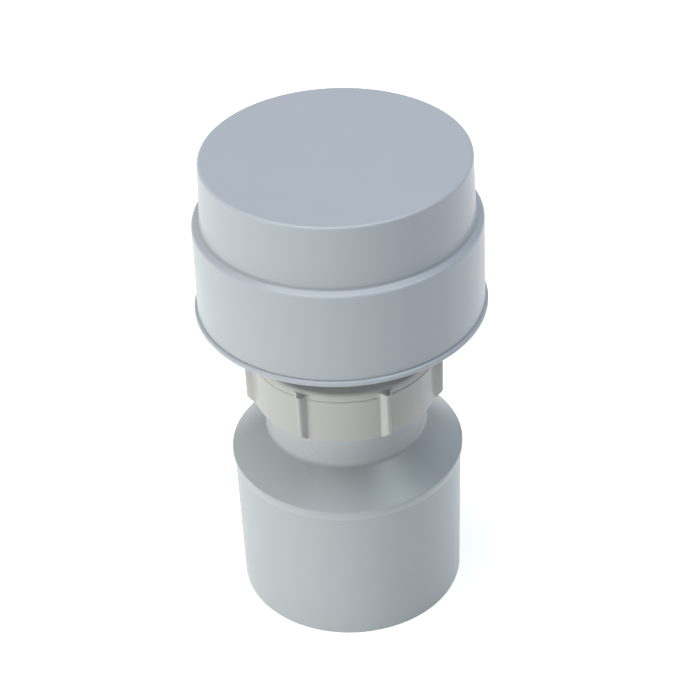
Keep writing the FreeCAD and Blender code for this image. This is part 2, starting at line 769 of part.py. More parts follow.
make_sheet()
make_base_adaptor()
make_union_nut()
make_slip_washer()
make_cone_seal()
make_valve_body()
make_insect_screen()
make_diaphragm()
make_diaphragm_carrier()
make_diaphragm_clip()
make_cap_seal()
make_cap()
make_stem_guide()
doc.recompute()

for item in doc.Objects:
    if "Invalid" in item.State or "Error" in item.State:
        raise RuntimeError("%s did not build: %s" % (item.Label, item.State))

bodies = [item for item in doc.Objects if item.TypeId == "PartDesign::Body"]
os.makedirs("parts", exist_ok=True)
for item in bodies:
    shape = item.Shape
    if shape.isNull() or not shape.isValid() or len(shape.Solids) != 1:
        raise RuntimeError("%s is not one valid solid" % item.Label)
    shape.exportStep("parts/%s.step" % item.Label)
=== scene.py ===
import bpy
import bmesh
import math
from mathutils import Matrix, Vector


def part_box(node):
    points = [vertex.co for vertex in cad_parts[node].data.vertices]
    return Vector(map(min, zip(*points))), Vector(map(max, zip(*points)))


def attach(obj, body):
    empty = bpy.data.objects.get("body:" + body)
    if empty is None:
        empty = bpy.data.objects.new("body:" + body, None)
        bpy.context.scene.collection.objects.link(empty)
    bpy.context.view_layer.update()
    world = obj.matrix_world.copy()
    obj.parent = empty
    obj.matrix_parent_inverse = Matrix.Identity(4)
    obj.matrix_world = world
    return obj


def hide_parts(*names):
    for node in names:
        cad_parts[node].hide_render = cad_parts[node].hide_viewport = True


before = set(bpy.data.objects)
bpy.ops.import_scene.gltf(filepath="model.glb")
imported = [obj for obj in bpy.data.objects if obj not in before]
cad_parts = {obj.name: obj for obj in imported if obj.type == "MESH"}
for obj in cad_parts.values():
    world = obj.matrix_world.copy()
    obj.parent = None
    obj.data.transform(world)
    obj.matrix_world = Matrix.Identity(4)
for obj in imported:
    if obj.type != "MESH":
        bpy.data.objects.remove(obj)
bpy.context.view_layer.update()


# Pipe adaptor: the grey plastic moulding at the bottom. Its socket is cemented over a 63 mm waste pipe,
# its cone narrows to a collar, and above the collar stands the threaded neck that takes the union nut.

MM = 0.001
SIDES = 192
CORNER_GUARD = 0.2
MERGE_WITHIN = 1e-7
ON_AXIS = 1e-6
SHARP_FROM = math.radians(32)
ADAPTOR_GREY = (0.438, 0.481, 0.524, 1.0)
ADAPTOR_EDGE = 0.25
SOCKET_DRAFT = 0.35
SOCKET_LIP_ROUND = 0.3
SOCKET_LEAD_IN = 0.9
SOCKET_LEAD_EDGE = 0.2
BRIM_STEP = 0.6
BRIM_HEIGHT = 1.3
BRIM_TAPER = 2.2
BRIM_FOOT_ROUND = 1.0
BRIM_LOW_ROUND = 0.5
BRIM_HIGH_ROUND = 0.4
PIPE_BORE = 31.6
PIPE_DEPTH = 40.0
PIPE_STOP = 30.1
SHOULDER_HEIGHT = 49.6
NECK_FOOT = 58.3
NECK_FOOT_ROUND = 1.8
COLLAR_RADIUS = 24.06
COLLAR_TOP = 69.6
SPIGOT_STOP = 55.0
SPIGOT_STOP_RADIUS = 18.0
SPIGOT_STOP_DEPTH = 2.4
FUNNEL_RISE = 2.6
FUNNEL_ROUND = 1.2
NECK_BORE = 20.3
NECK_TOP_ROUND = 0.125
SEAL_SEAT_RADIUS = 22.3
SEAL_SEAT_DEPTH = 4.4
SEAL_SEAT_CHAMFER = 0.1
CLOUD_SCALE = 22.0
CLOUD_DETAIL = 3.0
STREAK_STRETCH = (130.0, 130.0, 12.0)
STREAK_SHARE = 0.35
PEEL_SCALE = 420.0
GRAIN_SCALE = 2600.0
GRAIN_SHARE = 0.3
CLOUD_ROUGHNESS = 0.15
GRAIN_ROUGHNESS = 0.06
WEAR_SCALE = 160.0
WEAR_DETAIL = 4.0
WORN_LIFT = 1.15
# Painted shade: in creases the base colour is darkened towards this tone, broken up by noise.
CREASE_SHADE_SCALE = 60.0
CREASE_SHADE_DETAIL = 2.0
CREASE_SHADE_LEAST = 0.6
CREASE_SHADE_TONE = 0.6
BUMP_STRENGTH = 0.5
GLOSS_LEVEL = 0.5
FOLD_STARTS = math.radians(5)
FOLD_FULL = math.radians(20)
THREAD_CREST = 23.86
THREAD_ROOT = 22.45
THREAD_LEAD = 2.309
THREAD_TURNS = 4.0
THREAD_MARGIN = 1.0
THREAD_FLANK = math.tan(math.radians(27.5))
THREAD_CREST_WIDTH = 0.40
THREAD_SINK = 0.15
THREAD_FOOT_SPREAD = 0.05
THREAD_STEPS = 96.0
THREAD_END_SIZE = 0.05
THREAD_RUN_OUT = 0.06


def softened(corners, steps=4):
    """Outline points in millimetres. A corner's third number rounds it by that radius, and a guard
    point at each end of the round keeps the shading of the faces beside it even."""
    points = []
    for i, corner in enumerate(corners):
        here = Vector(corner[:2])
        if len(corner) < 3:
            points.append(here)
            continue
        radius = corner[2]
        before = Vector(corners[i - 1][:2]) - here
        after = Vector(corners[(i + 1) % len(corners)][:2]) - here
        half = before.angle(after) / 2
        before.normalize()
        after.normalize()
        reach = radius / math.tan(half)
        start = here + before * reach
        finish = here + after * reach
        centre = here + (before + after).normalized() * (radius / math.sin(half))
        first = math.atan2(start.y - centre.y, start.x - centre.x)
        last = math.atan2(finish.y - centre.y, finish.x - centre.x)
        sweep = (last - first + math.pi) % (2 * math.pi) - math.pi
        guard = CORNER_GUARD * radius
        points.append(start + before * guard)
        for k in range(steps + 1):
            angle = first + sweep * k / steps
            points.append(centre + Vector((math.cos(angle), math.sin(angle))) * radius)
        points.append(finish + after * guard)
    return points


def add_item(name, data):
    """Put a new object into the scene, at the origin."""
    item = bpy.data.objects.new(name, data)
    bpy.context.collection.objects.link(item)
    return item


def add_mesh(name, build):
    """Put a bmesh into the scene: outward faces, smooth, sharp where the surface turns."""
    bmesh.ops.remove_doubles(build, verts=build.verts, dist=MERGE_WITHIN)
    bmesh.ops.recalc_face_normals(build, faces=build.faces)
    mesh = bpy.data.meshes.new(name)
    build.to_mesh(mesh)
    build.free()
    mesh.shade_smooth()
    mesh.set_sharp_from_angle(angle=SHARP_FROM)
    return add_item(name, mesh)


def turned(name, corners, sides=SIDES):
    """Closed outline of radius and height, turned once round the vertical axis."""
    build = bmesh.new()
    rings = []
    for point in softened(corners):
        if abs(point.x) < ON_AXIS:
            rings.append([build.verts.new((0, 0, point.y * MM))] * sides)
            continue
        radius = point.x * MM
        ring = []
        for k in range(sides):
            angle = 2 * math.pi * k / sides
            ring.append(build.verts.new((radius * math.cos(angle), radius * math.sin(angle), point.y * MM)))
        rings.append(ring)
    for lower, upper in zip(rings, rings[1:] + rings[:1]):
        for k in range(sides):
            m = (k + 1) % sides
            around = []
            for vertex in (lower[k], lower[m], upper[m], upper[k]):
                if vertex not in around:
                    around.append(vertex)
            if len(around) > 2:
                build.faces.new(around)
    return add_mesh(name, build)


def joined(name, parts):
    """One piece from several meshes that belong to the same moulding."""
    build = bmesh.new()
    for part in parts:
        build.from_mesh(part.data)
        bpy.data.objects.remove(part)
    mesh = bpy.data.meshes.new(name)
    build.to_mesh(mesh)
    build.free()
    return add_item(name, mesh)


def new_group(name, kind, inputs, outputs):
    """Empty node group: the group, the sockets that it is given, and the sockets of its result."""
    group = bpy.data.node_groups.new(name, kind)
    for label, sort, *usual in inputs:
        socket = group.interface.new_socket(label, in_out="INPUT", socket_type="NodeSocket" + sort)
        if usual:
            socket.default_value = usual[0]
    for label, sort in outputs:
        group.interface.new_socket(label, in_out="OUTPUT", socket_type="NodeSocket" + sort)
    given = group.nodes.new("NodeGroupInput").outputs
    result = group.nodes.new("NodeGroupOutput").inputs
    return group, given, result


def feed(tree, socket, value):
    """Give a node's socket a plain value, or a link from another socket."""
    if isinstance(value, bpy.types.NodeSocket):
        tree.links.new(value, socket)
    else:
        socket.default_value = value


def maths(tree, operation, *values):
    """Math node on sockets or plain numbers. Gives the socket of its result."""
    node = tree.nodes.new("ShaderNodeMath")
    node.operation = operation
    for socket, value in zip(node.inputs, values):
        feed(tree, socket, value)
    return node.outputs[0]


def noise(tree, place, scale, detail):
    """Noise at a place on the piece. Gives the socket of its value."""
    node = tree.nodes.new("ShaderNodeTexNoise")
    feed(tree, node.inputs["Vector"], place)
    feed(tree, node.inputs["Scale"], scale)
    feed(tree, node.inputs["Detail"], detail)
    return node.outputs["Fac"]


def moulded_skin_group():
    """Moulded surface: slow tone drift, faint flow streaks, orange peel and fine grain."""
    group, given, result = new_group("moulded_skin", "ShaderNodeTree", [
        ("Tone", "Color", (0.5, 0.5, 0.5, 1.0)),
        ("Drift", "Float", 0.03),
        ("Roughness", "Float", 0.45),
        ("Peel scale", "Float", PEEL_SCALE),
    ], [
        ("Color", "Color"),
        ("Roughness", "Float"),
        ("Height", "Float"),
    ])
    link = group.links.new
    place = group.nodes.new("ShaderNodeTexCoord").outputs["Object"]
    stretch = group.nodes.new("ShaderNodeMapping")
    stretch.inputs["Scale"].default_value = STREAK_STRETCH
    link(place, stretch.inputs["Vector"])
    cloud = noise(group, place, CLOUD_SCALE, CLOUD_DETAIL)
    streak = noise(group, stretch.outputs["Vector"], 1.0, 2.0)
    blend = maths(group, "MULTIPLY_ADD", streak, STREAK_SHARE, cloud)
    centred = maths(group, "SUBTRACT", blend, (1 + STREAK_SHARE) / 2)
    amount = maths(group, "MULTIPLY_ADD", centred, given["Drift"], 1.0)
    shade = group.nodes.new("ShaderNodeVectorMath")
    shade.operation = "SCALE"
    link(given["Tone"], shade.inputs[0])
    link(amount, shade.inputs["Scale"])
    link(shade.outputs[0], result["Color"])
    peel = noise(group, place, given["Peel scale"], 1.0)
    grain = noise(group, place, GRAIN_SCALE, 2.0)
    link(maths(group, "MULTIPLY_ADD", grain, GRAIN_SHARE, peel), result["Height"])
    matt = maths(group, "MULTIPLY_ADD", centred, CLOUD_ROUGHNESS, given["Roughness"])
    link(maths(group, "MULTIPLY_ADD", grain, GRAIN_ROUGHNESS, matt), result["Roughness"])
    return group


def surface_mask_group(name, attribute, scale, detail, least):
    """Mask from one of the mesh's own values, broken up by noise that leaves a least share of it."""
    group, given, result = new_group(name, "ShaderNodeTree", [
        ("Amount", "Float", 0.0),
    ], [
        ("Mask", "Float"),
    ])
    marked = group.nodes.new("ShaderNodeAttribute")
    marked.attribute_name = attribute
    place = group.nodes.new("ShaderNodeTexCoord").outputs["Object"]
    patches = noise(group, place, scale, detail)
    share = maths(group, "MULTIPLY_ADD", patches, 1.0 - least, least)
    patchy = maths(group, "MULTIPLY", marked.outputs["Fac"], share)
    group.links.new(maths(group, "MULTIPLY", patchy, given["Amount"]), result["Mask"])
    return group


moulded_skin = moulded_skin_group()
edge_wear = surface_mask_group("edge_wear", "edge", WEAR_SCALE, WEAR_DETAIL, 0.0)
# Mask for painted shade: darker colour where the mesh folds inwards, read from the crease_depth value.
crease_shade_paint = surface_mask_group("crease_shade_paint", "crease_depth", CREASE_SHADE_SCALE, CREASE_SHADE_DETAIL, CREASE_SHADE_LEAST)


def effect(tree, group, values):
    """One of the shared effects in a material, with the material's own values."""
    node = tree.nodes.new("ShaderNodeGroup")
    node.node_tree = group
    for label, value in values.items():
        node.inputs[label].default_value = value
    return node.outputs


def tinted(tree, colour, tone, strength, mask):
    """Colour with a lighter or darker tone over it where the mask says."""
    mix = tree.nodes.new("ShaderNodeMix")
    mix.data_type = "RGBA"
    mix.inputs["B"].default_value = tuple(min(1.0, c * strength) for c in tone[:3]) + (1.0,)
    tree.links.new(mask, mix.inputs["Factor"])
    tree.links.new(colour, mix.inputs["A"])
    return mix.outputs["Result"]


def moulded_plastic(name, tone, roughness=0.28, drift=0.03, relief=0.005, wear=0.5, crease_shade=0.0,
                    peel=PEEL_SCALE):
    """Satin moulded plastic, a little lighter where its edges are rubbed, and with painted shade that
    darkens its creases.
    """
    material = bpy.data.materials.new(name)
    material.use_nodes = True
    tree = material.node_tree
    link = tree.links.new
    surface = tree.nodes["Principled BSDF"]
    skin = effect(tree, moulded_skin, {
        "Tone": tone,
        "Drift": drift,
        "Roughness": roughness,
        "Peel scale": peel,
    })
    worn = tinted(tree, skin["Color"], tone, WORN_LIFT, effect(tree, edge_wear, {"Amount": wear})["Mask"])
    # Painted shade: the base colour turns darker in creases, where shade would fall.
    crease_shaded = tinted(tree, worn, tone, CREASE_SHADE_TONE, effect(tree, crease_shade_paint, {"Amount": crease_shade})["Mask"])
    bump = tree.nodes.new("ShaderNodeBump")
    bump.inputs["Strength"].default_value = BUMP_STRENGTH
    bump.inputs["Distance"].default_value = relief * MM
    link(skin["Height"], bump.inputs["Height"])
    link(crease_shaded, surface.inputs["Base Color"])
    link(skin["Roughness"], surface.inputs["Roughness"])
    link(bump.outputs["Normal"], surface.inputs["Normal"])
    surface.inputs["Specular IOR Level"].default_value = GLOSS_LEVEL
    return material


def finished(tree, shape, finish):
    """Last steps of a geometry tree: a real mesh in place of instances, with its material."""
    solid = tree.nodes.new("GeometryNodeRealizeInstances")
    dressed = tree.nodes.new("GeometryNodeSetMaterial")
    tree.links.new(shape, solid.inputs["Geometry"])
    tree.links.new(solid.outputs["Geometry"], dressed.inputs["Geometry"])
    tree.links.new(finish, dressed.inputs["Material"])
    return dressed.outputs["Geometry"]


def spiral_ridge_tree():
    """Thread ridge: a helix that carries a V-shaped ridge and thins out at both ends."""
    tree, given, result = new_group("spiral_ridge", "GeometryNodeTree", [
        ("Profile", "Geometry"),
        ("Radius", "Float"),
        ("Turns", "Float"),
        ("Lead", "Float"),
        ("Foot", "Float"),
        ("Finish", "Material"),
    ], [
        ("Ridge", "Geometry"),
    ])
    nodes = tree.nodes
    link = tree.links.new
    line = nodes.new("GeometryNodeCurvePrimitiveLine")
    resample = nodes.new("GeometryNodeResampleCurve")
    link(line.outputs["Curve"], resample.inputs["Curve"])
    link(maths(tree, "MULTIPLY", given["Turns"], THREAD_STEPS), resample.inputs["Count"])
    along = nodes.new("GeometryNodeSplineParameter").outputs["Factor"]
    turn = maths(tree, "MULTIPLY", along, given["Turns"])
    angle = maths(tree, "MULTIPLY", turn, 2 * math.pi)
    spot = nodes.new("ShaderNodeCombineXYZ")
    link(maths(tree, "MULTIPLY", maths(tree, "COSINE", angle), given["Radius"]), spot.inputs["X"])
    link(maths(tree, "MULTIPLY", maths(tree, "SINE", angle), given["Radius"]), spot.inputs["Y"])
    link(maths(tree, "MULTIPLY_ADD", turn, given["Lead"], given["Foot"]), spot.inputs["Z"])
    move = nodes.new("GeometryNodeSetPosition")
    link(resample.outputs["Curve"], move.inputs["Geometry"])
    link(spot.outputs["Vector"], move.inputs["Position"])
    upright = nodes.new("GeometryNodeSetCurveNormal")
    upright.mode = "Z_UP"
    link(move.outputs["Geometry"], upright.inputs["Curve"])
    taper = nodes.new("ShaderNodeFloatCurve")
    taper.inputs["Factor"].default_value = 1.0
    shape = taper.mapping.curves[0].points
    shape[0].location = (0.0, THREAD_END_SIZE)
    shape[1].location = (1.0, THREAD_END_SIZE)
    shape.new(THREAD_RUN_OUT, 1.0)
    shape.new(1.0 - THREAD_RUN_OUT, 1.0)
    taper.mapping.update()
    link(along, taper.inputs["Value"])
    sweep = nodes.new("GeometryNodeCurveToMesh")
    sweep.inputs["Fill Caps"].default_value = True
    link(upright.outputs["Curve"], sweep.inputs["Curve"])
    link(given["Profile"], sweep.inputs["Profile Curve"])
    link(taper.outputs["Value"], sweep.inputs["Scale"])
    link(finished(tree, sweep.outputs["Mesh"], given["Finish"]), result["Ridge"])
    return tree


spiral_ridge = spiral_ridge_tree()


def made_by_nodes(name, base, tree, values):
    """Run a geometry tree on an object once and keep the result as a plain mesh."""
    modifier = base.modifiers.new("maker", "NODES")
    modifier.node_group = tree
    for socket in tree.interface.items_tree:
        if socket.in_out == "INPUT" and socket.name in values:
            modifier[socket.identifier] = values[socket.name]
    seen = base.evaluated_get(bpy.context.evaluated_depsgraph_get())
    mesh = bpy.data.meshes.new_from_object(seen)
    base.modifiers.remove(modifier)
    bpy.data.objects.remove(base)
    build = bmesh.new()
    build.from_mesh(mesh)
    return add_mesh(name, build)


def thread(name, radius, inward, foot, material):
    """V ridge of a parallel thread, standing out of a bore (inward) or off a neck."""
    side = -1.0 if inward else 1.0
    depth = THREAD_CREST - THREAD_ROOT
    crest = THREAD_CREST_WIDTH / 2
    base = crest + depth * THREAD_FLANK + THREAD_FOOT_SPREAD
    curve = bpy.data.curves.new(name + "_profile", "CURVE")
    curve.dimensions = "2D"
    spline = curve.splines.new("POLY")
    spots = [(-THREAD_SINK, -base), (depth, -crest), (depth, crest), (-THREAD_SINK, base)]
    spline.points.add(len(spots) - 1)
    for point, (out, up) in zip(spline.points, spots):
        point.co = (-side * out * MM, up * MM, 0.0, 1.0)
    spline.use_cyclic_u = True
    return made_by_nodes(name, add_item(name + "_holder", curve), spiral_ridge, {
        "Radius": radius * MM,
        "Turns": THREAD_TURNS,
        "Lead": THREAD_LEAD * MM,
        "Foot": foot * MM,
        "Finish": material,
    })


def fold_share(angle):
    """How far an angle between two faces is on the way from flat, 0, to a full fold, 1."""
    return min(1.0, max(0.0, (angle - FOLD_STARTS) / (FOLD_FULL - FOLD_STARTS)))


def mark_edges(mesh):
    """Store at each vertex how far it is on an outer edge, and how far in a crease."""
    build = bmesh.new()
    build.from_mesh(mesh)
    ridges = []
    creases = []
    for vertex in build.verts:
        turns = [edge.calc_face_angle_signed(0.0) for edge in vertex.link_edges]
        ridges.append(fold_share(max(turns, default=0.0)))
        creases.append(fold_share(-min(turns, default=0.0)))
    build.free()
    for name, values in (("edge", ridges), ("crease_depth", creases)):
        layer = mesh.attributes.new(name, "FLOAT", "POINT")
        layer.data.foreach_set("value", values)


def place_piece(item, body, slot, material, *nodes):
    """Give a finished piece its material, the body that it rides on, and the nodes that it replaces."""
    mark_edges(item.data)
    item.data.materials.clear()
    item.data.materials.append(material)
    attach(item, body)
    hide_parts(*nodes)


adaptor_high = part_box("base_adaptor")[1]
brim_radius = min(adaptor_high.x, adaptor_high.y) / MM
neck_top = adaptor_high.z / MM
brim_foot = brim_radius - BRIM_STEP
brim_low = SHOULDER_HEIGHT - BRIM_HEIGHT
socket_radius = brim_foot - SOCKET_DRAFT
stop_low = SPIGOT_STOP - SPIGOT_STOP_DEPTH
adaptor_plastic = moulded_plastic("adaptor_plastic", ADAPTOR_GREY)
adaptor_shell = turned("adaptor_shell", [
    (PIPE_BORE + SOCKET_LEAD_IN, 0.0, SOCKET_LEAD_EDGE),
    (socket_radius, 0.0, SOCKET_LIP_ROUND),
    (brim_foot, brim_low - BRIM_TAPER, BRIM_FOOT_ROUND),
    (brim_radius, brim_low, BRIM_LOW_ROUND),
    (brim_radius, SHOULDER_HEIGHT, BRIM_HIGH_ROUND),
    (COLLAR_RADIUS, NECK_FOOT, NECK_FOOT_ROUND),
    (COLLAR_RADIUS, COLLAR_TOP, ADAPTOR_EDGE),
    (THREAD_ROOT, COLLAR_TOP, ADAPTOR_EDGE),
    (THREAD_ROOT, neck_top, NECK_TOP_ROUND),
    (SEAL_SEAT_RADIUS - SEAL_SEAT_CHAMFER, neck_top),
    (NECK_BORE, neck_top - SEAL_SEAT_DEPTH, ADAPTOR_EDGE),
    (NECK_BORE, SPIGOT_STOP, ADAPTOR_EDGE),
    (SPIGOT_STOP_RADIUS, SPIGOT_STOP, ADAPTOR_EDGE),
    (SPIGOT_STOP_RADIUS, stop_low, ADAPTOR_EDGE),
    (PIPE_STOP, stop_low - FUNNEL_RISE, FUNNEL_ROUND),
    (PIPE_STOP, PIPE_DEPTH, ADAPTOR_EDGE),
    (PIPE_BORE, PIPE_DEPTH, ADAPTOR_EDGE),
    (PIPE_BORE, SOCKET_LEAD_IN, SOCKET_LIP_ROUND),
])
thread_foot = COLLAR_TOP + THREAD_MARGIN
neck_thread = thread("neck_thread", THREAD_ROOT, False, thread_foot, adaptor_plastic)
pipe_adaptor = joined("pipe_adaptor", [adaptor_shell, neck_thread])
place_piece(pipe_adaptor, "valve_housing", "adaptor_plastic", adaptor_plastic, "base_adaptor")


# Cone seal: a moulded black rubber ring with a conical outside. The nut squeezes it into the neck's
# seat, where it closes on the valve's spigot.

RUBBER_BLACK = (0.020, 0.020, 0.021, 1.0)
SPIGOT_RADIUS = 20.0
SEAL_FIT = 0.08
SEAL_ROUND = 0.3
seal_low, seal_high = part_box("cone_seal")
seal_foot = seal_low.z / MM
seal_top = seal_high.z / MM
seal_outer = min(seal_high.x, seal_high.y) / MM
seal_bore = SPIGOT_RADIUS + SEAL_FIT
seal_slope = (SEAL_SEAT_RADIUS - NECK_BORE) / SEAL_SEAT_DEPTH
seal_foot_radius = NECK_BORE + (seal_foot - neck_top + SEAL_SEAT_DEPTH) * seal_slope - SEAL_FIT
rubber = moulded_plastic("moulded_rubber", RUBBER_BLACK, roughness=0.62, drift=0.3, relief=0.02, wear=0.2)
rubber_cone = turned("rubber_cone", [
    (seal_bore, seal_foot),
    (seal_foot_radius, seal_foot),
    (seal_outer, neck_top, SEAL_ROUND),
    (seal_outer, seal_top, SEAL_ROUND),
    (seal_bore, seal_top, SEAL_ROUND),
])
place_piece(rubber_cone, "valve_housing", "seal_rubber", rubber, "cone_seal")


# Valve body: grey plastic moulding with the long spigot in the middle, whose top edge is the inner seat.
# A wall round it ends in the outer seat, eight ribs tie the two, and the flange and rim carry the cap.

BODY_GREY = (0.432, 0.475, 0.533, 1.0)
BODY_EDGE = 0.12
BODY_FILLET = 0.5
SPIGOT_BORE = 17.6
SPIGOT_CHAMFER = 0.8
SPIGOT_EDGE = 0.2
FLANGE_FOOT = 101.4
FLANGE_TOP = 103.0
FLANGE_ROUND = 0.6
INTAKE_RADIUS = 31.0
INTAKE_WALL = 2.0
SEAT_TAPER = 1.6
SEAT_LAND = 1.0
SEAT_ROUND = 0.3
RIM_INNER = 36.4
RIM_INNER_ROUND = 0.3
RIM_RADIUS = 39.6
RIM_ROUND = 0.5
RIM_TOP = 111.2
SNAP_LOW = 104.13
SNAP_HIGH = 105.67
SNAP_DEPTH = 0.6
GROOVE_LOW = 107.1
GROOVE_HIGH = 109.6
GROOVE_FLOOR = 37.65
SCREEN_HOOK = 0.35
SCREEN_FOOT = 101.9
SCREEN_TOP = 104.3
BODY_RIB_TOP = 114.3
BODY_RIB_COUNT = 8
BODY_RIB_THICKNESS = 1.6
GUSSET_COUNT = 12
GUSSET_THICKNESS = 1.4
GUSSET_HEIGHT = 6.5
ROOT = 0.4
BEVEL_FROM = math.radians(40)


def prism(name, corners, low, high, standing=False, edge=BODY_EDGE):
    """Outline pushed from low to high: flat on the ground, or standing on a radius."""
    build = bmesh.new()
    loops = []
    for level in (low, high):
        loop = []
        for point in softened(corners, 3):
            spot = (point.x, level, point.y) if standing else (point.x, point.y, level)
            loop.append(build.verts.new(Vector(spot) * MM))
        loops.append(loop)
    count = len(loops[0])
    build.faces.new(loops[0])
    build.faces.new(loops[1])
    for k in range(count):
        m = (k + 1) % count
        build.faces.new((loops[0][k], loops[0][m], loops[1][m], loops[1][k]))
    bmesh.ops.recalc_face_normals(build, faces=build.faces)
    sharp = [e for e in build.edges if e.calc_face_angle(0.0) > BEVEL_FROM]
    bmesh.ops.bevel(build, geom=sharp, offset=edge * MM, segments=2, affect="EDGES", profile=0.5)
    return add_mesh(name, build)


def ring_of_copies_tree():
    """Copies of one piece, spaced evenly round the vertical axis."""
    tree, given, result = new_group("ring_of_copies", "GeometryNodeTree", [
        ("Piece", "Geometry"),
        ("Count", "Int"),
        ("First angle", "Float"),
        ("Finish", "Material"),
    ], [
        ("Ring", "Geometry"),
    ])
    nodes = tree.nodes
    link = tree.links.new
    spots = nodes.new("GeometryNodePoints")
    link(given["Count"], spots.inputs["Count"])
    number = nodes.new("GeometryNodeInputIndex").outputs["Index"]
    share = maths(tree, "DIVIDE", number, given["Count"])
    axis = nodes.new("ShaderNodeCombineXYZ")
    link(maths(tree, "MULTIPLY_ADD", share, 2 * math.pi, given["First angle"]), axis.inputs["Z"])
    copies = nodes.new("GeometryNodeInstanceOnPoints")
    link(spots.outputs["Points"], copies.inputs["Points"])
    link(given["Piece"], copies.inputs["Instance"])
    link(axis.outputs["Vector"], copies.inputs["Rotation"])
    link(finished(tree, copies.outputs["Instances"], given["Finish"]), result["Ring"])
    return tree


ring_of_copies = ring_of_copies_tree()


def ring_of(piece, count, material, first_angle=0.0):
    """Repeat a piece round the axis and keep the ring as one mesh."""
    return made_by_nodes(piece.name + "_ring", piece, ring_of_copies, {
        "Count": count,
        "First angle": first_angle,
        "Finish": material,
    })


body_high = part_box("valve_body")[1]
flange_radius = min(body_high.x, body_high.y) / MM
seat_height = body_high.z / MM
taper_foot = seat_height - SEAT_TAPER
seat_inset = (INTAKE_WALL - SEAT_LAND) / 2
spigot_inset = (SPIGOT_RADIUS - SPIGOT_BORE - SEAT_LAND) / 2
intake_outer = INTAKE_RADIUS + INTAKE_WALL
body_plastic = moulded_plastic("body_plastic", BODY_GREY)
spigot = turned("spigot", [
    (SPIGOT_BORE, SPIGOT_STOP, SPIGOT_EDGE),
    (SPIGOT_RADIUS - SPIGOT_CHAMFER, SPIGOT_STOP, SPIGOT_EDGE),
    (SPIGOT_RADIUS, SPIGOT_STOP + SPIGOT_CHAMFER, SPIGOT_EDGE),
    (SPIGOT_RADIUS, taper_foot, SEAT_ROUND),
    (SPIGOT_RADIUS - spigot_inset, seat_height, SEAT_ROUND),
    (SPIGOT_BORE + spigot_inset, seat_height, SEAT_ROUND),
    (SPIGOT_BORE, taper_foot, SEAT_ROUND),
])
housing = turned("housing", [
    (INTAKE_RADIUS - SCREEN_HOOK, FLANGE_FOOT, BODY_EDGE),
    (flange_radius, FLANGE_FOOT, FLANGE_ROUND),
    (flange_radius, FLANGE_TOP, FLANGE_ROUND),
    (RIM_RADIUS, FLANGE_TOP),
    (RIM_RADIUS, SNAP_LOW, BODY_EDGE),
    (RIM_RADIUS - SNAP_DEPTH, SNAP_LOW),
    (RIM_RADIUS - SNAP_DEPTH, SNAP_HIGH),
    (RIM_RADIUS, SNAP_HIGH, BODY_EDGE),
    (RIM_RADIUS, GROOVE_LOW, BODY_EDGE),
    (GROOVE_FLOOR, GROOVE_LOW, BODY_EDGE),
    (GROOVE_FLOOR, GROOVE_HIGH, BODY_EDGE),
    (RIM_RADIUS, GROOVE_HIGH, BODY_EDGE),
    (RIM_RADIUS, RIM_TOP, RIM_ROUND),
    (RIM_INNER, RIM_TOP, RIM_INNER_ROUND),
    (RIM_INNER, FLANGE_TOP, BODY_FILLET),
    (intake_outer, FLANGE_TOP, BODY_FILLET),
    (intake_outer, taper_foot, SEAT_ROUND),
    (intake_outer - seat_inset, seat_height, SEAT_ROUND),
    (INTAKE_RADIUS + seat_inset, seat_height, SEAT_ROUND),
    (INTAKE_RADIUS, taper_foot, SEAT_ROUND),
    (INTAKE_RADIUS, SCREEN_FOOT),
    (INTAKE_RADIUS - SCREEN_HOOK, SCREEN_FOOT, BODY_EDGE),
])
body_rib = prism("body_rib", [
    (SPIGOT_RADIUS - ROOT, SCREEN_TOP),
    (INTAKE_RADIUS + ROOT, SCREEN_TOP),
    (INTAKE_RADIUS + ROOT, BODY_RIB_TOP),
    (SPIGOT_RADIUS - ROOT, BODY_RIB_TOP),
], -BODY_RIB_THICKNESS / 2, BODY_RIB_THICKNESS / 2, standing=True)
gusset = prism("gusset", [
    (intake_outer - ROOT, FLANGE_TOP - ROOT),
    (RIM_INNER + ROOT, FLANGE_TOP - ROOT),
    (RIM_INNER + ROOT, FLANGE_TOP + GUSSET_HEIGHT / 2),
    (intake_outer - ROOT, FLANGE_TOP + GUSSET_HEIGHT),
], -GUSSET_THICKNESS / 2, GUSSET_THICKNESS / 2, standing=True)
valve_moulding = joined("valve_moulding", [
    spigot,
    housing,
    ring_of(body_rib, BODY_RIB_COUNT, body_plastic),
    ring_of(gusset, GUSSET_COUNT, body_plastic),
])
place_piece(valve_moulding, "valve_housing", "body_plastic", body_plastic, "valve_body")


# Slip washer: a thin ring of natural-white plastic. It is held under the nut's lip, so that the turning
# nut doesn't drag on the rubber.

WASHER_WHITE = (0.74, 0.74, 0.70, 1.0)
WASHER_BORE = 20.35
WASHER_EDGE = 0.15
washer_low, washer_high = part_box("slip_washer")
washer_foot = washer_low.z / MM
washer_top = washer_high.z / MM
washer_radius = min(washer_high.x, washer_high.y) / MM
washer_plastic = moulded_plastic("washer_plastic", WASHER_WHITE, roughness=0.30, wear=0.2)
slip_ring = turned("slip_ring", [
    (WASHER_BORE, washer_foot, WASHER_EDGE),
    (washer_radius, washer_foot, WASHER_EDGE),
    (washer_radius, washer_top, WASHER_EDGE),
    (WASHER_BORE, washer_top, WASHER_EDGE),
])
place_piece(slip_ring, "washer_slide", "washer_plastic", washer_plastic, "slip_washer")


# Union nut: warm grey plastic moulding, screwed down over the neck by hand. Seven V ribs give the grip.
# They run out on a slope at the open end, and stop short of the rounded edge at the closed one.

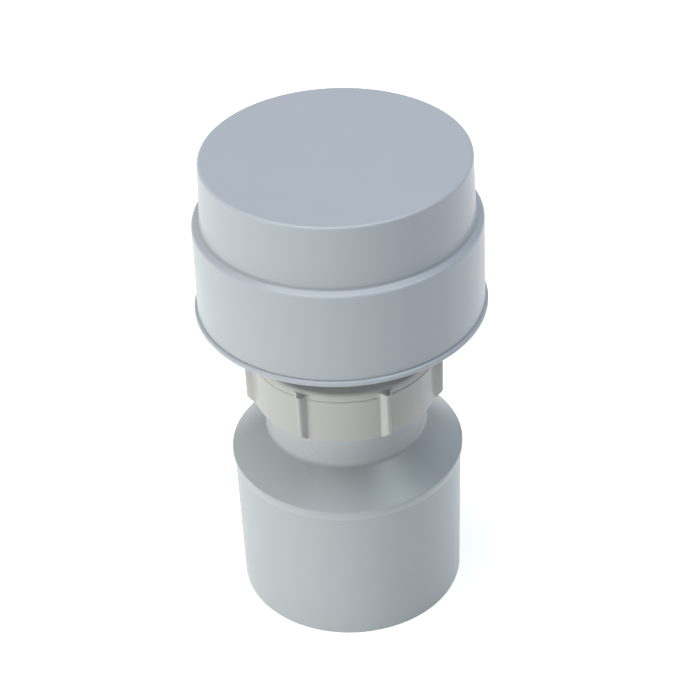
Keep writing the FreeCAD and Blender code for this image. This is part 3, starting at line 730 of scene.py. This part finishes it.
NUT_GREY = (0.500, 0.500, 0.500, 1.0)
NUT_RADIUS = 27.8
NUT_FOOT_ROUND = 0.3
NUT_BAND_HEIGHT = 2.4
NUT_BAND_TAPER = 0.5
NUT_TOP_ROUND = 1.1
NUT_LINE_DEPTH = 0.25
NUT_LINE_HEIGHT = 0.5
NUT_LINE_ROUND = 0.1
NUT_LIP_BORE = 20.6
NUT_LIP_TOP_ROUND = 0.4
NUT_LIP_UNDER = 83.2
NUT_LIP_ROUND = 0.2
WASHER_GROOVE = 23.5
WASHER_HOOK = 22.6
WASHER_HOOK_TOP = 81.6
WASHER_HOOK_FOOT = 81.1
WASHER_HOOK_ROUND = 0.1
NUT_BORE = 24.25
NUT_MOUTH = 24.7
NUT_MOUTH_DEPTH = 1.2
NUT_MOUTH_ROUND = 0.2
NUT_MOUTH_STEP_ROUND = 0.15
NUT_RIB_COUNT = 7
NUT_RIB_TURN = math.radians(294.1)
NUT_RIB_HALF_WIDTH = 1.5
NUT_RIB_DEPTH = 3.9
NUT_RIB_TIP_ROUND = 0.9
NUT_RIB_FOOT_ROUND = 0.6
NUT_RIB_FOOT_SINK = 0.05
NUT_RIB_SKIRT = 0.9
NUT_RIB_SKIRT_SINK = 0.15
NUT_RIB_ROOT = 0.6
NUT_RIB_EDGE = 0.15
NUT_RIB_SLOPE_GAP = 0.4
NUT_RIB_SLOPE_ZONE = 1.0
nut_low, nut_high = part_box("union_nut")
nut_foot = nut_low.z / MM
nut_top = nut_high.z / MM
nut_line = nut_top - NUT_BAND_HEIGHT
mouth_top = nut_foot + NUT_MOUTH_DEPTH
rib_skirt = NUT_RIB_HALF_WIDTH + NUT_RIB_SKIRT
nut_plastic = moulded_plastic("nut_plastic", NUT_GREY, roughness=0.32)
nut_shell = turned("nut_shell", [
    (NUT_MOUTH, nut_foot, NUT_MOUTH_ROUND),
    (NUT_RADIUS, nut_foot, NUT_FOOT_ROUND),
    (NUT_RADIUS, nut_line - NUT_LINE_HEIGHT, NUT_LINE_ROUND),
    (NUT_RADIUS - NUT_LINE_DEPTH, nut_line, NUT_LINE_ROUND),
    (NUT_RADIUS - NUT_LINE_DEPTH / 2, nut_line + NUT_LINE_HEIGHT, NUT_LINE_ROUND),
    (NUT_RADIUS - NUT_BAND_TAPER, nut_top, NUT_TOP_ROUND),
    (NUT_LIP_BORE, nut_top, NUT_LIP_TOP_ROUND),
    (NUT_LIP_BORE, NUT_LIP_UNDER, NUT_LIP_ROUND),
    (WASHER_GROOVE, NUT_LIP_UNDER, WASHER_HOOK_ROUND),
    (WASHER_GROOVE, WASHER_HOOK_TOP, WASHER_HOOK_ROUND),
    (WASHER_HOOK, WASHER_HOOK_TOP, WASHER_HOOK_ROUND),
    (WASHER_HOOK, WASHER_HOOK_FOOT, WASHER_HOOK_ROUND),
    (NUT_BORE, WASHER_HOOK_FOOT, WASHER_HOOK_ROUND),
    (NUT_BORE, mouth_top, NUT_MOUTH_STEP_ROUND),
    (NUT_MOUTH, mouth_top, NUT_MOUTH_STEP_ROUND),
])
nut_rib = prism("nut_rib", [
    (NUT_RADIUS - NUT_RIB_ROOT, -rib_skirt),
    (NUT_RADIUS - NUT_RIB_SKIRT_SINK, -rib_skirt),
    (NUT_RADIUS - NUT_RIB_FOOT_SINK, -NUT_RIB_HALF_WIDTH, NUT_RIB_FOOT_ROUND),
    (NUT_RADIUS + NUT_RIB_DEPTH, 0.0, NUT_RIB_TIP_ROUND),
    (NUT_RADIUS - NUT_RIB_FOOT_SINK, NUT_RIB_HALF_WIDTH, NUT_RIB_FOOT_ROUND),
    (NUT_RADIUS - NUT_RIB_SKIRT_SINK, rib_skirt),
    (NUT_RADIUS - NUT_RIB_ROOT, rib_skirt),
], nut_foot, nut_top - NUT_TOP_ROUND, edge=NUT_RIB_EDGE)


def sloped(rib):
    """The same rib with its lower end run out upwards, from the wall to the tip."""
    start = NUT_RADIUS + NUT_RIB_SLOPE_GAP
    for vertex in rib.data.vertices:
        out = vertex.co.x / MM - start
        if vertex.co.z / MM < nut_foot + NUT_RIB_SLOPE_ZONE and out > 0:
            vertex.co.z += out * MM
    return rib


nut_thread = thread("nut_thread", NUT_BORE, True, thread_foot + THREAD_LEAD / 2, nut_plastic)
ribbed_nut = joined("ribbed_nut", [
    nut_shell,
    ring_of(sloped(nut_rib), NUT_RIB_COUNT, nut_plastic, NUT_RIB_TURN),
    nut_thread,
])
place_piece(ribbed_nut, "nut", "nut_plastic", nut_plastic, "union_nut")


# Insect screen: a slotted ring of black plastic, snapped up into the air intake until it meets the
# ribs. Two rims stiffen it, and three rows of slots let the air through.

SCREEN_BLACK = (0.035, 0.036, 0.038, 1.0)
SCREEN_INNER = 20.15
SCREEN_OUTER = 30.85
SCREEN_RIM = 1.1
SCREEN_THICKNESS = 0.8
SCREEN_EDGE = 0.15
SCREEN_FILLET = 0.2
SLOT_LENGTH = 2.0
SLOT_ROW_PITCH = 2.6
SLOT_WIDTH = 1.3
SLOT_COUNTS = (36, 40, 44)
BAR_OVERLAP = 0.1
BAR_INSET = 0.01
BAR_EDGE = 0.08
screen_plastic = moulded_plastic("screen_plastic", SCREEN_BLACK, roughness=0.5, drift=0.2, wear=0.3)
plate_low = SCREEN_TOP - SCREEN_THICKNESS
half_slot = SLOT_LENGTH / 2
row_middle = (SCREEN_INNER + SCREEN_OUTER) / 2
rows = [row_middle + SLOT_ROW_PITCH * step for step in (-1, 0, 1)]
screen_parts = [turned("screen_inner_rim", [
    (SCREEN_INNER, SCREEN_FOOT, SCREEN_EDGE),
    (SCREEN_INNER + SCREEN_RIM, SCREEN_FOOT, SCREEN_EDGE),
    (SCREEN_INNER + SCREEN_RIM, plate_low, SCREEN_FILLET),
    (rows[0] - half_slot, plate_low),
    (rows[0] - half_slot, SCREEN_TOP),
    (SCREEN_INNER, SCREEN_TOP, SCREEN_EDGE),
]), turned("screen_outer_rim", [
    (rows[2] + half_slot, plate_low),
    (SCREEN_OUTER - SCREEN_RIM, plate_low, SCREEN_FILLET),
    (SCREEN_OUTER - SCREEN_RIM, SCREEN_FOOT, SCREEN_EDGE),
    (SCREEN_OUTER, SCREEN_FOOT, SCREEN_EDGE),
    (SCREEN_OUTER, SCREEN_TOP, SCREEN_EDGE),
    (rows[2] + half_slot, SCREEN_TOP),
])]
for inner, outer in zip(rows, rows[1:]):
    screen_parts.append(turned("screen_band", [
        (inner + half_slot, plate_low),
        (outer - half_slot, plate_low),
        (outer - half_slot, SCREEN_TOP),
        (inner + half_slot, SCREEN_TOP),
    ]))
for radius, count in zip(rows, SLOT_COUNTS):
    gap_angle = math.pi / count
    half_bar = radius * gap_angle - SLOT_WIDTH / 2
    bar = prism("screen_bar", [
        (radius - half_slot - BAR_OVERLAP, -half_bar),
        (radius + half_slot + BAR_OVERLAP, -half_bar),
        (radius + half_slot + BAR_OVERLAP, half_bar),
        (radius - half_slot - BAR_OVERLAP, half_bar),
    ], plate_low + BAR_INSET, SCREEN_TOP - BAR_INSET, edge=BAR_EDGE)
    screen_parts.append(ring_of(bar, count, screen_plastic, gap_angle))
slotted_screen = joined("slotted_screen", screen_parts)
place_piece(slotted_screen, "valve_housing", "screen_plastic", screen_plastic, "insect_screen")


# Diaphragm: a flat ring of milky silicone that lies on both seats and closes the air intake. It lifts
# off when the pipe pulls air. Six holes let the clip's pegs through.

SILICONE = (0.62, 0.62, 0.58, 1.0)
SILICONE_MILK = 0.35
SILICONE_DEPTH = (0.002, 0.002, 0.0018)
DIAPHRAGM_INNER = 17.0
DIAPHRAGM_ROUND = 0.2
PEG_CIRCLE = 26.3
PEG_COUNT = 6
PEG_RADIUS = 1.25
PEG_CLEARANCE = 0.1
PEG_SIDES = 40
DRILL_BELOW = 1.0
DRILL_ABOVE = 4.0
DRILL_EDGE = 0.1
diaphragm_low, diaphragm_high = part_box("diaphragm")
diaphragm_foot = diaphragm_low.z / MM
diaphragm_top = diaphragm_high.z / MM
diaphragm_radius = min(diaphragm_high.x, diaphragm_high.y) / MM


def peg(name, radius, foot, top, edge):
    """Round peg on the peg circle, standing on the first spoke's line."""
    pin = turned(name, [(0.0, foot), (radius, foot, edge), (radius, top, edge), (0.0, top)], PEG_SIDES)
    pin.data.transform(Matrix.Translation((PEG_CIRCLE * MM, 0.0, 0.0)))
    return pin


def drilled(item, material):
    """The same piece with the six peg holes cut through it."""
    bore = PEG_RADIUS + PEG_CLEARANCE
    low = diaphragm_foot - DRILL_BELOW
    high = diaphragm_top + DRILL_ABOVE
    drill = peg("peg_drill", bore, low, high, DRILL_EDGE)
    drills = ring_of(drill, PEG_COUNT, material)
    cut = item.modifiers.new("peg_holes", "BOOLEAN")
    cut.operation = "DIFFERENCE"
    cut.solver = "EXACT"
    cut.object = drills
    seen = item.evaluated_get(bpy.context.evaluated_depsgraph_get())
    mesh = bpy.data.meshes.new_from_object(seen)
    name = item.name
    bpy.data.objects.remove(item)
    bpy.data.objects.remove(drills)
    build = bmesh.new()
    build.from_mesh(mesh)
    return add_mesh(name, build)


silicone = moulded_plastic("diaphragm_silicone", SILICONE, roughness=0.38, drift=0.06, wear=0.0, peel=150.0)
silicone_surface = silicone.node_tree.nodes["Principled BSDF"]
silicone_surface.inputs["Subsurface Weight"].default_value = SILICONE_MILK
silicone_surface.inputs["Subsurface Radius"].default_value = SILICONE_DEPTH
silicone_ring = drilled(turned("silicone_ring", [
    (DIAPHRAGM_INNER, diaphragm_foot, DIAPHRAGM_ROUND),
    (diaphragm_radius, diaphragm_foot, DIAPHRAGM_ROUND),
    (diaphragm_radius, diaphragm_top, DIAPHRAGM_ROUND),
    (DIAPHRAGM_INNER, diaphragm_top, DIAPHRAGM_ROUND),
]), silicone)
place_piece(silicone_ring, "lifting_seal", "diaphragm_silicone", silicone, "diaphragm")


# Carrier: a ring of natural-white plastic on top of the diaphragm. Six spokes join it to the hub, which
# slides on the guide's stem and keeps the ring level.

CARRIER_WHITE = (0.70, 0.70, 0.66, 1.0)
CARRIER_INNER = 22.5
CARRIER_THICKNESS = 1.6
CARRIER_LIP_WIDTH = 1.4
CARRIER_LIP_HEIGHT = 1.5
CARRIER_EDGE = 0.15
CARRIER_ROUND = 0.3
HUB_BORE = 2.85
HUB_RADIUS = 5.2
HUB_FOOT_ROUND = 0.2
HUB_TOP_ROUND = 0.4
HUB_SIDES = 96
SPOKE_WIDTH = 1.8
SPOKE_HEIGHT = 4.6
SPOKE_SHOULDER = 6.0
SPOKE_ROUND = 2.0
carrier_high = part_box("diaphragm_carrier")[1]
carrier_outer = min(carrier_high.x, carrier_high.y) / MM
hub_top = carrier_high.z / MM
carrier_top = diaphragm_top + CARRIER_THICKNESS
lip_top = carrier_top + CARRIER_LIP_HEIGHT
lip_inner = carrier_outer - CARRIER_LIP_WIDTH
spoke_top = diaphragm_top + SPOKE_HEIGHT
carrier_plastic = moulded_plastic("carrier_plastic", CARRIER_WHITE, roughness=0.36, wear=0.2)
carrier_ring = drilled(turned("carrier_ring", [
    (CARRIER_INNER, diaphragm_top, CARRIER_EDGE),
    (carrier_outer, diaphragm_top, CARRIER_EDGE),
    (carrier_outer, lip_top, CARRIER_ROUND),
    (lip_inner, lip_top, CARRIER_ROUND),
    (lip_inner, carrier_top, CARRIER_ROUND),
    (CARRIER_INNER, carrier_top, CARRIER_ROUND),
]), carrier_plastic)
carrier_hub = turned("carrier_hub", [
    (HUB_BORE, diaphragm_top, HUB_FOOT_ROUND),
    (HUB_RADIUS, diaphragm_top, HUB_FOOT_ROUND),
    (HUB_RADIUS, hub_top, HUB_TOP_ROUND),
    (HUB_BORE, hub_top, CARRIER_ROUND),
], HUB_SIDES)
spoke = prism("spoke", [
    (HUB_RADIUS - ROOT, diaphragm_top),
    (CARRIER_INNER + ROOT, diaphragm_top),
    (CARRIER_INNER + ROOT, carrier_top),
    (HUB_RADIUS + SPOKE_SHOULDER, spoke_top, SPOKE_ROUND),
    (HUB_RADIUS - ROOT, spoke_top),
], -SPOKE_WIDTH / 2, SPOKE_WIDTH / 2, standing=True)
spoked_carrier = joined("spoked_carrier", [
    carrier_ring,
    carrier_hub,
    ring_of(spoke, PEG_COUNT, carrier_plastic),
])
place_piece(spoked_carrier, "lifting_seal", "carrier_plastic", carrier_plastic, "diaphragm_carrier")


# Clip ring: natural-white plastic, and presses the diaphragm to the carrier from below. Its six pegs
# pass through both and are staked over with heat, which leaves low round heads.

CLIP_HALF_WIDTH = 2.0
CLIP_ROUND = 0.3
CLIP_EDGE = 0.15
PEG_SINK = 0.2
PEG_EDGE = 0.05
PEG_HEAD_RADIUS = 1.9
PEG_HEAD_ROUND = 0.35
clip_low, clip_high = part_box("diaphragm_clip")
clip_foot = clip_low.z / MM
clip_top = clip_high.z / MM
clip_ring = turned("clip_ring", [
    (PEG_CIRCLE - CLIP_HALF_WIDTH, clip_foot, CLIP_ROUND),
    (PEG_CIRCLE + CLIP_HALF_WIDTH, clip_foot, CLIP_ROUND),
    (PEG_CIRCLE + CLIP_HALF_WIDTH, diaphragm_foot, CLIP_EDGE),
    (PEG_CIRCLE - CLIP_HALF_WIDTH, diaphragm_foot, CLIP_EDGE),
])
shank = peg("peg_shank", PEG_RADIUS, clip_foot + PEG_SINK, carrier_top + PEG_SINK, PEG_EDGE)
head = peg("peg_head", PEG_HEAD_RADIUS, carrier_top, clip_top, PEG_HEAD_ROUND)
pegged_clip = joined("pegged_clip", [
    clip_ring,
    ring_of(shank, PEG_COUNT, carrier_plastic),
    ring_of(head, PEG_COUNT, carrier_plastic),
])
place_piece(pegged_clip, "lifting_seal", "carrier_plastic", carrier_plastic, "diaphragm_clip")


# Cap seal: a black rubber ring in the groove of the body's rim. The cap presses on it all round, so
# that air goes in only through the intake.

RING_ROUND = 0.7
ring_low, ring_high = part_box("cap_seal")
ring_foot = ring_low.z / MM
ring_top = ring_high.z / MM
ring_outer = min(ring_high.x, ring_high.y) / MM
ring_inner = GROOVE_FLOOR + SEAL_FIT
rubber_ring = turned("rubber_ring", [
    (ring_inner, ring_foot, RING_ROUND),
    (ring_outer, ring_foot, RING_ROUND),
    (ring_outer, ring_top, RING_ROUND),
    (ring_inner, ring_top, RING_ROUND),
])
place_piece(rubber_ring, "valve_housing", "seal_rubber", rubber, "cap_seal")


# Cap: the grey two-step cover, one thin plastic moulding with a skirt, a rounded ledge and a crown with
# a flat top. A bead inside its skirt snaps over the body's rim.

CAP_GREY = (0.432, 0.475, 0.533, 1.0)
# Strength of the painted shade in the cap's creases, such as the crown's foot on the ledge.
CAP_CREASE_SHADE = 0.9
CAP_SIDES = 256
CAP_WALL = 2.2
CAP_INNER_ROUND = 0.4
SKIRT_DRAFT = 0.35
SKIRT_TOP = 130.4
SKIRT_EDGE = 0.18
SKIRT_EDGE_ROUND = 0.15
LEDGE_TOP = 131.4
LEDGE_WIDTH = 2.75
LEDGE_ROUND = 0.9
LEDGE_FILLET = 1.1
CROWN_DRAFT = 0.75
CROWN_ROUND = 0.8
CEILING_ROUND = 0.8
CAP_SNAP_LOW = 104.25
CAP_SNAP_HIGH = 105.55
CAP_SNAP_CHAMFER = 0.43
CAP_SNAP_ROUND = 0.1
CAP_SNAP_MARGIN = 1.3
cap_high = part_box("cap")[1]
skirt_radius = min(cap_high.x, cap_high.y) / MM
cap_top = cap_high.z / MM
skirt_low = FLANGE_TOP + SKIRT_EDGE
skirt_inner = skirt_radius - CAP_WALL
skirt_top_radius = skirt_radius - SKIRT_DRAFT
ceiling = cap_top - CAP_WALL
crown_radius = skirt_radius - LEDGE_WIDTH
crown_top_radius = crown_radius - CROWN_DRAFT
bead_radius = skirt_inner - SNAP_DEPTH
# The cap's material darkens its creases with painted shade.
cap_plastic = moulded_plastic("cap_plastic", CAP_GREY, crease_shade=CAP_CREASE_SHADE)
two_step_cap = turned("two_step_cap", [
    (skirt_inner + SKIRT_EDGE, FLANGE_TOP, CAP_SNAP_ROUND),
    (skirt_radius - SKIRT_EDGE, FLANGE_TOP, SKIRT_EDGE_ROUND),
    (skirt_radius, skirt_low, SKIRT_EDGE_ROUND),
    (skirt_top_radius, SKIRT_TOP, LEDGE_ROUND),
    (crown_radius, LEDGE_TOP, LEDGE_FILLET),
    (crown_top_radius, cap_top, CROWN_ROUND),
    (0.0, cap_top),
    (0.0, ceiling),
    (crown_top_radius - CAP_WALL, ceiling, CEILING_ROUND),
    (crown_radius - CAP_WALL, LEDGE_TOP - CAP_WALL, CAP_INNER_ROUND),
    (skirt_top_radius - CAP_WALL, SKIRT_TOP - CAP_WALL, CAP_INNER_ROUND),
    (skirt_inner, CAP_SNAP_HIGH + CAP_SNAP_MARGIN),
    (skirt_inner, CAP_SNAP_HIGH, CAP_SNAP_ROUND),
    (bead_radius, CAP_SNAP_HIGH - CAP_SNAP_CHAMFER, CAP_SNAP_ROUND),
    (bead_radius, CAP_SNAP_LOW + CAP_SNAP_CHAMFER, CAP_SNAP_ROUND),
    (skirt_inner, CAP_SNAP_LOW, CAP_SNAP_ROUND),
    (skirt_inner, skirt_low, CAP_SNAP_ROUND),
], CAP_SIDES)
place_piece(two_step_cap, "valve_housing", "cap_plastic", cap_plastic, "cap")


# Stem guide: a natural-white plastic spider, welded under the cap's ceiling. Its stem keeps the carrier
# level, and its boss stops the lift.

STEM_RADIUS = 2.8
STEM_CHAMFER = 0.6
STEM_LENGTH = 13.7
STEM_TIP_ROUND = 0.2
STEM_ROOT_ROUND = 0.3
BOSS_RADIUS = 5.0
GUIDE_RIB_COUNT = 6
GUIDE_RIB_THICKNESS = 1.4
GUIDE_RIB_DEPTH = 4.0
GUIDE_RIB_ROUND = 1.5
GUIDE_RIB_MARGIN = 2.25
guide_low, guide_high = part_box("stem_guide")
stem_tip = guide_low.z / MM
guide_top = guide_high.z / MM
stem_root = stem_tip + STEM_LENGTH
rib_foot = guide_top - GUIDE_RIB_DEPTH
guide_reach = crown_top_radius - CAP_WALL - GUIDE_RIB_MARGIN
guide_stem = turned("guide_stem", [
    (0.0, guide_top),
    (0.0, stem_tip),
    (STEM_RADIUS - STEM_CHAMFER, stem_tip, STEM_TIP_ROUND),
    (STEM_RADIUS, stem_tip + STEM_CHAMFER, STEM_TIP_ROUND),
    (STEM_RADIUS, stem_root, STEM_ROOT_ROUND),
    (BOSS_RADIUS, stem_root, STEM_ROOT_ROUND),
    (BOSS_RADIUS, guide_top),
], HUB_SIDES)
guide_rib = prism("guide_rib", [
    (BOSS_RADIUS - ROOT, rib_foot),
    (guide_reach - GUIDE_RIB_DEPTH, rib_foot, GUIDE_RIB_ROUND),
    (guide_reach, guide_top),
    (BOSS_RADIUS - ROOT, guide_top),
], -GUIDE_RIB_THICKNESS / 2, GUIDE_RIB_THICKNESS / 2, standing=True)
guide_spider = joined("guide_spider", [guide_stem, ring_of(guide_rib, GUIDE_RIB_COUNT, carrier_plastic)])
place_piece(guide_spider, "valve_housing", "carrier_plastic", carrier_plastic, "stem_guide")


# Studio: a white floor that keeps the valve's shadow, soft light from the upper left, and the camera
# of the photograph.

FLOOR_REACH = 6.0
FLOOR_WHITE = 0.95
FLOOR_ROUGHNESS = 0.9
FLOOR_LIFT_NEAR = 0.45
FLOOR_LIFT_FAR = 1.0
FLOOR_NEAR = 0.5
FLOOR_FAR = 4.0
WHITE = (1.0, 1.0, 1.0, 1.0)
REFLECTED_WHITE = 0.35
LAMP_AIM = Vector((0.0, 0.0, 0.08))
WINDOW_PLACE = (-2.56, -1.43, 0.70)
WINDOW_ACROSS = 1.9
WINDOW_TALL = 1.1
WINDOW_TINT = (1.03, 1.04, 0.91)


def studio_floor():
    """White floor, clear from below. Its own glow, seen by the camera and in reflections, makes up for
    the light that falls off away from the lamps."""
    build = bmesh.new()
    corners = []
    for x, y in ((-1, -1), (1, -1), (1, 1), (-1, 1)):
        corners.append(build.verts.new((x * FLOOR_REACH, y * FLOOR_REACH, 0.0)))
    build.faces.new(corners)
    mesh = bpy.data.meshes.new("floor")
    build.to_mesh(mesh)
    build.free()
    floor = add_item("floor", mesh)
    material = bpy.data.materials.new("floor_white")
    material.use_nodes = True
    tree = material.node_tree
    nodes = tree.nodes
    link = tree.links.new
    surface = nodes["Principled BSDF"]
    surface.inputs["Base Color"].default_value = (FLOOR_WHITE, FLOOR_WHITE, FLOOR_WHITE, 1.0)
    surface.inputs["Roughness"].default_value = FLOOR_ROUGHNESS
    surface.inputs["Specular IOR Level"].default_value = 0.0
    surface.inputs["Emission Color"].default_value = WHITE
    place = nodes.new("ShaderNodeTexCoord")
    away = nodes.new("ShaderNodeVectorMath")
    away.operation = "LENGTH"
    link(place.outputs["Object"], away.inputs[0])
    fade = nodes.new("ShaderNodeMapRange")
    fade.inputs["From Min"].default_value = FLOOR_NEAR
    fade.inputs["From Max"].default_value = FLOOR_FAR
    fade.inputs["To Min"].default_value = FLOOR_LIFT_NEAR
    fade.inputs["To Max"].default_value = FLOOR_LIFT_FAR
    link(away.outputs["Value"], fade.inputs["Value"])
    seen = nodes.new("ShaderNodeLightPath").outputs
    in_view = maths(tree, "MAXIMUM", seen["Is Camera Ray"], seen["Is Glossy Ray"])
    lift = maths(tree, "MULTIPLY", in_view, fade.outputs["Result"])
    link(lift, surface.inputs["Emission Strength"])
    facing = nodes.new("ShaderNodeNewGeometry")
    clear = nodes.new("ShaderNodeBsdfTransparent")
    either = nodes.new("ShaderNodeMixShader")
    link(facing.outputs["Backfacing"], either.inputs["Fac"])
    link(surface.outputs["BSDF"], either.inputs[1])
    link(clear.outputs["BSDF"], either.inputs[2])
    link(either.outputs["Shader"], nodes["Material Output"].inputs["Surface"])
    mesh.materials.append(material)


def studio_world():
    """White surroundings for the camera, dimmer in reflections. The lamps give all the light."""
    world = bpy.data.worlds.new("studio")
    bpy.context.scene.world = world
    world.use_nodes = True
    tree = world.node_tree
    background = tree.nodes["Background"]
    background.inputs["Color"].default_value = WHITE
    seen = tree.nodes.new("ShaderNodeLightPath").outputs
    mirrored = maths(tree, "MULTIPLY", seen["Is Glossy Ray"], REFLECTED_WHITE)
    tree.links.new(maths(tree, "MAXIMUM", seen["Is Camera Ray"], mirrored), background.inputs["Strength"])


def soft_lamp(name, place, across, tall, watts, tint, mirrored=True):
    """Soft round lamp, aimed at the valve's middle. A low lamp that isn't mirrored can't glare on the
    flat lid."""
    lamp = bpy.data.lights.new(name, "AREA")
    lamp.shape = "ELLIPSE"
    lamp.size = across
    lamp.size_y = tall
    lamp.energy = watts
    lamp.color = tint
    item = add_item(name, lamp)
    item.location = place
    item.rotation_euler = (LAMP_AIM - Vector(place)).to_track_quat("-Z", "Y").to_euler()
    item.visible_glossy = mirrored


def photo_camera():
    """Camera fitted to the photograph: place in millimetres, angles in degrees, focus in pixels."""
    distance = 466.9
    height = 423.2
    pitch = math.radians(36.09)
    roll = math.radians(-2.4)
    yaw = math.radians(0.232)
    focus_pixels = 1941.4
    frame_pixels = 700.0
    sensor = 36.0
    ahead = Vector((math.sin(yaw) * math.cos(pitch), math.cos(yaw) * math.cos(pitch), -math.sin(pitch)))
    level = ahead.cross(Vector((0, 0, 1))).normalized()
    above = level.cross(ahead)
    right = level * math.cos(roll) + above * math.sin(roll)
    upward = above * math.cos(roll) - level * math.sin(roll)
    data = bpy.data.cameras.new("photo_camera")
    data.sensor_fit = "HORIZONTAL"
    data.sensor_width = sensor
    data.lens = sensor * focus_pixels / frame_pixels
    data.clip_start = 0.01
    data.clip_end = 20.0
    camera = add_item("photo_camera", data)
    turn = Matrix((right, upward, -ahead)).transposed().to_4x4()
    camera.matrix_world = Matrix.Translation(Vector((0.0, -distance, height)) * MM) @ turn
    bpy.context.scene.camera = camera


studio_floor()
studio_world()
soft_lamp("window_lamp", WINDOW_PLACE, WINDOW_ACROSS, WINDOW_TALL, 48.0, WINDOW_TINT, mirrored=False)
soft_lamp("window_sheen", WINDOW_PLACE, WINDOW_ACROSS, WINDOW_TALL, 8.0, WINDOW_TINT)
soft_lamp("top_lamp", (-0.50, -0.13, 3.03), 2.1, 2.1, 54.0, (1.0, 0.98, 1.01))
soft_lamp("fill_lamp", (1.24, -0.26, 2.80), 1.6, 1.6, 33.0, (0.93, 1.03, 1.04))
soft_lamp("back_lamp", (2.23, 1.87, 0.81), 1.4, 1.4, 14.0, (1.0, 1.0, 1.0), mirrored=False)
photo_camera()
bpy.context.scene.view_settings.view_transform = "Standard"
